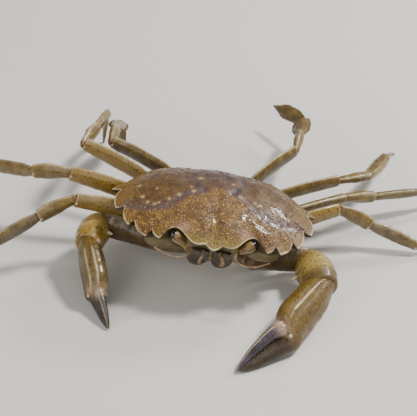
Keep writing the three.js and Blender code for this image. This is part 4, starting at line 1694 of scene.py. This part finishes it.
CLAWS = (
    Claw(Side.LEFT, coxa=(7.5, -5.5, 2.6), hip=(13.5, -10.5, 2.8), lengths=(19, 14, 23, 18), girth=1.06,
         palm=(6.1, 4.3), fingers=(6.1, 4.3), azimuth=(23, -74, -122, -140), elevation=(-12, 3, -6, -13),
         roll=40, ridges=(37,), crests=(62, 96), tint=Tint(0.4, 0.4)),
    Claw(Side.RIGHT, coxa=(7.5, -5.5, 2.6), hip=(16.4, -7.9, 3.4), lengths=(20.8, 12.2, 17, 11.6),
         girth=0.88, palm=(5.2, 3.7), fingers=(4.4, 2.8), azimuth=(146, 257, -75, -68),
         elevation=(-7, 3.7, -26.5, -20.5), roll=-12, ridges=(140, 102), crests=(150, 98),
         tint=Tint(0.35, 0.45)),
)


# ------------------------ finishes


class Graph:
    """Adds nodes to one shader tree and joins them."""

    def __init__(self, tree: bpy.types.NodeTree) -> None:
        """Starts on a tree."""
        self.tree = tree

    @property
    def shader(self) -> bpy.types.NodeInputs:
        """Inputs of the tree's surface shader."""
        return self.tree.nodes["Principled BSDF"].inputs

    def put(self, kind: str, inputs: dict, **settings: object) -> bpy.types.Node:
        """Adds a node.

        Args:
            kind: Blender's name of the node type.
            inputs: sockets or values, by input name or number.
            settings: properties of the node.

        Returns:
            The node.
        """
        node = self.tree.nodes.new(kind)
        for key, value in settings.items():
            setattr(node, key, value)
        for key, value in inputs.items():
            if isinstance(value, Socket):
                self.tree.links.new(value, node.inputs[key])
            else:
                node.inputs[key].default_value = value
        return node

    def math(self, kind: str, a: object, b: object) -> Socket:
        """A sum, product or other step on two numbers."""
        return self.put("ShaderNodeMath", {0: a, 1: b}, operation=kind).outputs[0]

    def times(self, a: object, b: object) -> Socket:
        """The product of two numbers."""
        return self.math("MULTIPLY", a, b)

    def between(self, value: object, low: float, high: float) -> Socket:
        """0 at low, rising smoothly to 1 at high."""
        inputs = {"Value": value, "From Min": low, "From Max": high, "To Min": 0.0, "To Max": 1.0}
        return self.put("ShaderNodeMapRange", inputs, interpolation_type="SMOOTHSTEP").outputs[0]

    def blend(self, share: object, a: object, b: object) -> Socket:
        """A colour between a and b."""
        return self.put("ShaderNodeMix", {0: share, 6: a, 7: b}, data_type="RGBA").outputs[2]

    def noise(
        self, vector: object, scale: float, detail: float = 3.0, rough: float = 0.55
    ) -> Socket:
        """Soft noise between 0 and 1."""
        inputs = {"Vector": vector, "Scale": scale, "Detail": detail, "Roughness": rough}
        return self.put("ShaderNodeTexNoise", inputs).outputs[0]

    def cells(self, vector: object, scale: float) -> bpy.types.Node:
        """Scattered cells: distance from the nearest centre and a colour for each."""
        return self.put("ShaderNodeTexVoronoi", {"Vector": vector, "Scale": scale, "Randomness": 1.0})

    def flecks(
        self, vector: object, scale: float, edge: Sequence[float], channel: int, picked: Sequence[float]
    ) -> Socket:
        """Round flecks in some of the cells.

        Args:
            vector: place.
            scale: cells in a metre.
            edge: distances from a cell's centre at which its fleck begins and is full.
            channel: which part of a cell's colour picks it.
            picked: values of that part at which flecks begin and are full.

        Returns:
            The mask.
        """
        cells = self.cells(vector, scale)
        value = self.put("ShaderNodeSeparateColor", {"Color": cells.outputs["Color"]}).outputs[channel]
        return self.times(self.between(cells.outputs["Distance"], *edge), self.between(value, *picked))

    def paint(self, name: str) -> Socket:
        """A mask held at the mesh's points."""
        return self.put("ShaderNodeAttribute", {}, attribute_name=name).outputs["Fac"]


def new_material(name: str) -> tuple[bpy.types.Material, Graph, Socket]:
    """A material with nothing but its shader.

    Args:
        name: its name.

    Returns:
        The material, a graph on it, and the place on the object as a socket.
    """
    material = bpy.data.materials.new(name)
    material.use_nodes = True
    g = Graph(material.node_tree)
    return material, g, g.put("ShaderNodeTexCoord", {}).outputs["Object"]


def colour(code: str) -> Four:
    """Linear colour of a web code such as 7a5a2a."""
    parts = [int(code[i : i + 2], 16) / 255 for i in (0, 2, 4)]
    return (*(p / 12.92 if p <= 0.04045 else ((p + 0.055) / 1.055) ** 2.4 for p in parts), 1.0)


def new_group(name: str, takes: Sequence[str], gives: Sequence[str]) -> tuple[Graph, dict, dict]:
    """An empty node group with named sockets; Vector is a vector and all others are numbers.

    Args:
        name: the group's name.
        takes: its inputs.
        gives: its outputs.

    Returns:
        A graph on it, its inputs as sockets, and its output node's inputs.
    """
    tree = bpy.data.node_groups.new(name, "ShaderNodeTree")
    for way, labels in (("INPUT", takes), ("OUTPUT", gives)):
        for label in labels:
            kind = "NodeSocketVector" if label == "Vector" else "NodeSocketFloat"
            tree.interface.new_socket(label, in_out=way, socket_type=kind)
    start, end = tree.nodes.new("NodeGroupInput").outputs, tree.nodes.new("NodeGroupOutput").inputs
    return Graph(tree), {label: start[label] for label in takes}, {label: end[label] for label in gives}


def grain_group() -> bpy.types.NodeTree:
    """Shell grain: clouds, dark dots, pale specks and the height of fine granules.

    Returns:
        The node group.
    """
    gives = ("Clouds", "Fine", "Dots", "Specks", "Height")
    g, take, give = new_group("Shell grain", ("Vector", "Size"), gives)
    scaling = {0: take["Vector"], 3: take["Size"]}
    scaled = g.put("ShaderNodeVectorMath", scaling, operation="SCALE").outputs[0]
    clouds = g.noise(scaled, 260.0, 4.0, 0.6)
    bumps = g.between(g.cells(scaled, 1900.0).outputs["Distance"], 0.75, 0.1)
    made = {
        "Clouds": g.between(clouds, 0.34, 0.66),
        "Fine": g.between(g.noise(scaled, 1500.0, 3.0, 0.65), 0.35, 0.65),
        "Dots": g.flecks(scaled, 900.0, (0.42, 0.22), 0, (0.45, 0.6)),
        "Specks": g.flecks(scaled, 1350.0, (0.4, 0.2), 1, (0.6, 0.75)),
        "Height": g.math("ADD", g.times(bumps, 0.7), g.times(clouds, 1.2)),
    }
    for label, socket in made.items():
        g.tree.links.new(socket, give[label])
    return g.tree


def wet_group() -> bpy.types.NodeTree:
    """Wet film: roughness and coat that thin out in patches.

    Returns:
        The node group.
    """
    g, take, give = new_group("Wet film", ("Vector", "Roughness", "Coat", "Fine"), ("Roughness", "Coat"))
    patch = g.between(g.noise(take["Vector"], 190.0), 0.36, 0.62)
    rough = g.math("ADD", take["Roughness"], g.times(g.math("SUBTRACT", 0.6, patch), 0.22))
    g.tree.links.new(g.math("ADD", rough, g.times(take["Fine"], 0.08)), give["Roughness"])
    g.tree.links.new(g.times(take["Coat"], g.math("ADD", 0.45, g.times(patch, 0.55))), give["Coat"])
    return g.tree


@dataclass(frozen=True)
class Layer:
    """A tone laid over those below it: its strength is mask times (share + slope times by)."""

    mask: str
    share: float
    tone: str  # a web code, or two that mix mingles
    by: str = ""
    slope: float = 0.0
    mix: str = "Clouds"


@dataclass(frozen=True)
class Finish:
    """A material: its slot in the record, base tone, fineness of grain, gloss and colour layers."""

    name: str
    slot: str
    tone: str
    size: float
    roughness: float
    coat: float
    layers: tuple[Layer, ...]
    coat_roughness: float = 0.12
    bump: float = 0.35


# Masks that rise from 0 to 1 as the paint "upper" falls from the first value to the second.
FALLS = {"flank": (0.9, -0.6), "keel": (-0.1, -0.7)}
BUMP_DISTANCE = 0.22 * MM  # height of the fine granules
LIMB_LAYERS = (
    # Straw: the pale upper faces of the wrists, partly painted highlight.
    Layer("gold", 0.85, "9c7a24"), Layer("straw", 0.7, "cbb065"),
    # Purple-brown grows towards each article's lower side: partly the shell's own tone, partly painted
    # shade. Dark: the fingers' own dark tone, with painted shade over the arms and the fixed fingers.
    Layer("purple", 0.0, "32262e", "flank", 0.8), Layer("dark", 0.95, "2a1e17"),
    Layer("Dots", 0.75, "2d1808"), Layer("Fine", 0.35, "403410"),
    # Ridge: pale lines along crests and ridges, partly pale shell, partly painted highlight.
    Layer("Specks", 0.22, "b09a5c", "dark", -0.2), Layer("ridge", 0.55, "ccbd92", "Clouds", 0.4),
    Layer("knuckle", 0.6, "5c3a20"), Layer("rim", 0.75, "b3936c"),
    Layer("blush", 1.0, "a07f6c c4a794", mix="Fine"), Layer("mark", 1.0, "c9b792"),
)
FINISHES = {
    # Golden ochre in front, brown-purple behind the neck groove, olive at the rear edge.
    "carapace": Finish("Carapace", "carapace_shell", "4f3517 745422", 1.3, 0.46, 0.4, (
        Layer("rear", 0.8, "4d3b42"), Layer("front", 0.9, "63400f 8a651d"), Layer("lobe", 0.75, "83601f"),
        Layer("band", 0.6, "948330"), Layer("Dots", 0.75, "3a1d0b"), Layer("Fine", 0.5, "38290e"),
        Layer("groove", 0.6, "4a3848"), Layer("navy", 1.0, "211828"),
        # Pale flecks, most over the front: partly pale granules, partly painted sparkle of light on them.
        Layer("Specks", 0.15, "d8b068", "front", 0.65), Layer("orbit", 0.55, "c79c80"),
        Layer("spot", 0.9, "cdb277"), Layer("rim", 0.2, "e0d3a4", "Clouds", 0.65),
        # Below: the under face dark brown, painted shade under the shell.
        Layer("below", 1.0, "3d2c14"),
    ), coat_roughness=0.1),
    "leg": Finish("Leg shell", "leg_shell", "493818 7a662e", 1.15, 0.33, 0.55, LIMB_LAYERS),
    "claw": Finish("Claw shell", "claw_shell", "392b16 5c4a24", 1.0, 0.36, 0.45, LIMB_LAYERS),
    "finger": Finish("Finger shell", "finger_shell", "292434 4c4763", 1.2, 0.3, 0.55, LIMB_LAYERS),
    "under": Finish("Under shell", "under_shell", "8c7c3e b0a468", 0.9, 0.5, 0.25, (
        # Groove: the breast's dark seams, and painted shade on the cheeks.
        Layer("Dots", 0.4, "5e4220"), Layer("Specks", 0.4, "e0d4a6"), Layer("groove", 0.75, "3a2a14"))),
    # Very dark brown: the plates' own tone deepened into painted shade under the front of the shell.
    "mouth": Finish("Mouth plate", "under_shell", "20170b 3a2e18", 1.2, 0.4, 0.4, (
        Layer("Specks", 0.4, "9c8450"), Layer("groove", 0.7, "21151a"))),
    "stalk": Finish("Eye stalk", "eye", "4f3415 86692f", 1.6, 0.35, 0.5, (
        Layer("Dots", 0.6, "351a0c"), Layer("keel", 0.85, "d3c398"))),
    "cornea": Finish("Cornea", "eye", "0d0a0b", 3.0, 0.12, 0.7, (
        Layer("Fine", 0.5, "241a17"),), coat_roughness=0.05, bump=0.05),
    "hair": Finish("Fringe hair", "leg_shell", "5c4322 755a30", 2.0, 0.6, 0.1, (
        Layer("share", 0.6, "a58c5a"),)),
    "feeler": Finish("Feeler", "feeler", "5e4630 8a7050", 2.0, 0.45, 0.3, (
        Layer("groove", 0.55, "6e5636"),)),
}


class Looks:
    """The materials of the crab, by the names of its finishes."""

    def __init__(self) -> None:
        """Makes the shared groups and each material."""
        self.grain, self.film = grain_group(), wet_group()
        self.made = {key: self.material(finish) for key, finish in FINISHES.items()}

    def __getitem__(self, key: str) -> bpy.types.Material:
        """One material."""
        return self.made[key]

    def colour(self, g: Graph, masks: dict, finish: Finish) -> object:
        """A finish's base tone with its layers over it.

        Args:
            g: the material's graph.
            masks: the grain's outputs by name.
            finish: the finish.

        Returns:
            The colour, as a socket.
        """

        def read(name: str) -> Socket:
            """A mask of the grain, of a limb's under side, or painted on the mesh."""
            if name in FALLS:
                return g.between(g.paint("upper"), *FALLS[name])
            return masks[name] if name in masks else g.paint(name)

        def mingled(tone: str, mix: str) -> object:
            """The colour of one web code, or of two that a mask mingles."""
            first, *second = (colour(code) for code in tone.split())
            return g.blend(read(mix), first, second[0]) if second else first

        tone = mingled(finish.tone, "Clouds")
        for layer in finish.layers:
            share = layer.share
            if layer.by:
                share = g.math("ADD", share, g.times(read(layer.by), layer.slope))
            tone = g.blend(g.times(read(layer.mask), share), tone, mingled(layer.tone, layer.mix))
        return tone

    def material(self, finish: Finish) -> bpy.types.Material:
        """Builds a material: its colour, wet film and granular bump.

        Args:
            finish: what it is like.

        Returns:
            The material.
        """
        material, g, vector = new_material(finish.name)
        grain, film = (g.put("ShaderNodeGroup", {}, node_tree=tree) for tree in (self.grain, self.film))
        grain.inputs["Size"].default_value = finish.size
        film.inputs["Roughness"].default_value = finish.roughness
        film.inputs["Coat"].default_value = finish.coat
        masks = {socket.name: socket for socket in grain.outputs}
        bump = {"Height": masks["Height"], "Strength": finish.bump, "Distance": BUMP_DISTANCE}
        links = (
            (vector, grain.inputs["Vector"]),
            (vector, film.inputs["Vector"]),
            (masks["Fine"], film.inputs["Fine"]),
            (self.colour(g, masks, finish), g.shader["Base Color"]),
            (film.outputs["Roughness"], g.shader["Roughness"]),
            (film.outputs["Coat"], g.shader["Coat Weight"]),
            (g.put("ShaderNodeBump", bump).outputs["Normal"], g.shader["Normal"]),
        )
        for source, goal in links:
            g.tree.links.new(source, goal)
        g.shader["Coat Roughness"].default_value = finish.coat_roughness
        return material


# ------------------------ studio


@dataclass
class Studio:
    """A pale floor, soft light and a camera that looks down on the crab's front."""

    azimuth: float = -2.35
    elevation: float = 37.72
    roll: float = 4.37
    distance: float = 400.0
    target: Three = (-0.12, 5.48, 18.0)
    lens: float = 112.9
    sensor: float = 36.0
    floor_half: float = 6.0  # half the floor's edge, in metres
    lit: Three = (0.0, 0.0, 0.015)  # the point that the lights face, in metres
    # Name, place in metres, edge in metres, watts and colour of each light.
    lights: tuple[tuple, ...] = (
        ("key", (0.46, 0.14, 0.80), 0.14, 9.2, (1.0, 0.97, 0.93)),
        ("back", (0.60, 0.56, 0.55), 0.2, 5.0, (1.0, 0.98, 0.96)),
        ("fill", (-0.55, -0.45, 0.5), 0.6, 3.0, (1.0, 0.99, 0.98)),
        ("front", (0.1, -0.8, 0.35), 0.5, 1.6, (1.0, 0.98, 0.96)),
    )
    surround: float = 0.28  # strength of the even light from all round

    def camera(self, shift: Array) -> None:
        """Puts the camera in place.

        Args:
            shift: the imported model's shift, in millimetres.
        """
        a, e, r = (math.radians(value) for value in (self.azimuth, self.elevation, self.roll))
        back = np.array([math.sin(a) * math.cos(e), -math.cos(a) * math.cos(e), math.sin(e)])
        right = unit(np.cross(-back, UP))
        upright = np.cross(right, -back)
        across = math.cos(r) * right + math.sin(r) * upright
        upper = -math.sin(r) * right + math.cos(r) * upright
        place = (np.array(self.target) + self.distance * back + shift) * MM
        camera = bpy.data.cameras.new("camera")
        camera.lens, camera.sensor_width, camera.sensor_fit = self.lens, self.sensor, "HORIZONTAL"
        camera.clip_start, camera.clip_end = 0.01, 20.0
        obj = linked("camera", camera)
        turned = Matrix(np.column_stack([across, upper, back]).tolist()).to_4x4()
        obj.matrix_world = Matrix.Translation(Vector(place)) @ turned
        bpy.context.scene.camera = obj

    def lamps(self) -> None:
        """Area lights that face the crab."""
        for name, place, size, power, tone in self.lights:
            lamp = bpy.data.lights.new(name, "AREA")
            lamp.size, lamp.energy, lamp.color = size, power, tone
            obj = linked(name, lamp)
            obj.location = place
            obj.rotation_euler = (Vector(self.lit) - Vector(place)).to_track_quat("-Z", "Y").to_euler()

    def floor(self) -> None:
        """A wide pale floor with faint cloudiness."""
        mesh = bpy.data.meshes.new("floor")
        far = self.floor_half
        corners = [(-far, -far, 0), (far, -far, 0), (far, far, 0), (-far, far, 0)]
        mesh.from_pydata(corners, [], [(0, 1, 2, 3)])
        material, g, vector = new_material("Floor")
        tone = g.blend(g.noise(vector, 6.0, 4.0), colour("cfcdc8"), colour("dad8d4"))
        g.tree.links.new(tone, g.shader["Base Color"])
        rough = g.math("ADD", 0.6, g.times(g.noise(vector, 40.0), 0.2))
        g.tree.links.new(rough, g.shader["Roughness"])
        mesh.materials.append(material)
        linked("floor", mesh)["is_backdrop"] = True

    def build(self, shift: Array) -> None:
        """Sets up floor, lights, surroundings and camera.

        Args:
            shift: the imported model's shift, in millimetres.
        """
        self.floor()
        self.lamps()
        world = bpy.data.worlds.new("surroundings")
        world.use_nodes = True
        backdrop = world.node_tree.nodes["Background"]
        backdrop.inputs["Color"].default_value = (1.0, 0.98, 0.96, 1.0)
        backdrop.inputs["Strength"].default_value = self.surround
        bpy.context.scene.world = world
        self.camera(shift)


def bounds_of() -> list:
    return json.loads(json.dumps(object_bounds(), default=lambda value: [float(v) for v in value]))


def main() -> None:
    """Loads the solids, dresses them and sets up the studio."""
    logging.basicConfig(level=logging.INFO, format="%(name)s %(message)s")
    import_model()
    before = bounds_of()
    shop = Workshop(Looks())
    shop.settle("leg_left_2_carpus", LEGS[0].coarse_lowest(1))
    LOG.info("shift of the packed model: %s", shop.shift)
    for part in (Carapace(), Underbody(), Abdomen(), MouthPlates(), Eyes(), Feelers(), *CLAWS, *LEGS):
        part.build(shop)
    Studio().build(shop.shift)
    {"solids": before, "dressed": bounds_of()}


if __name__ == "__main__":
    main()
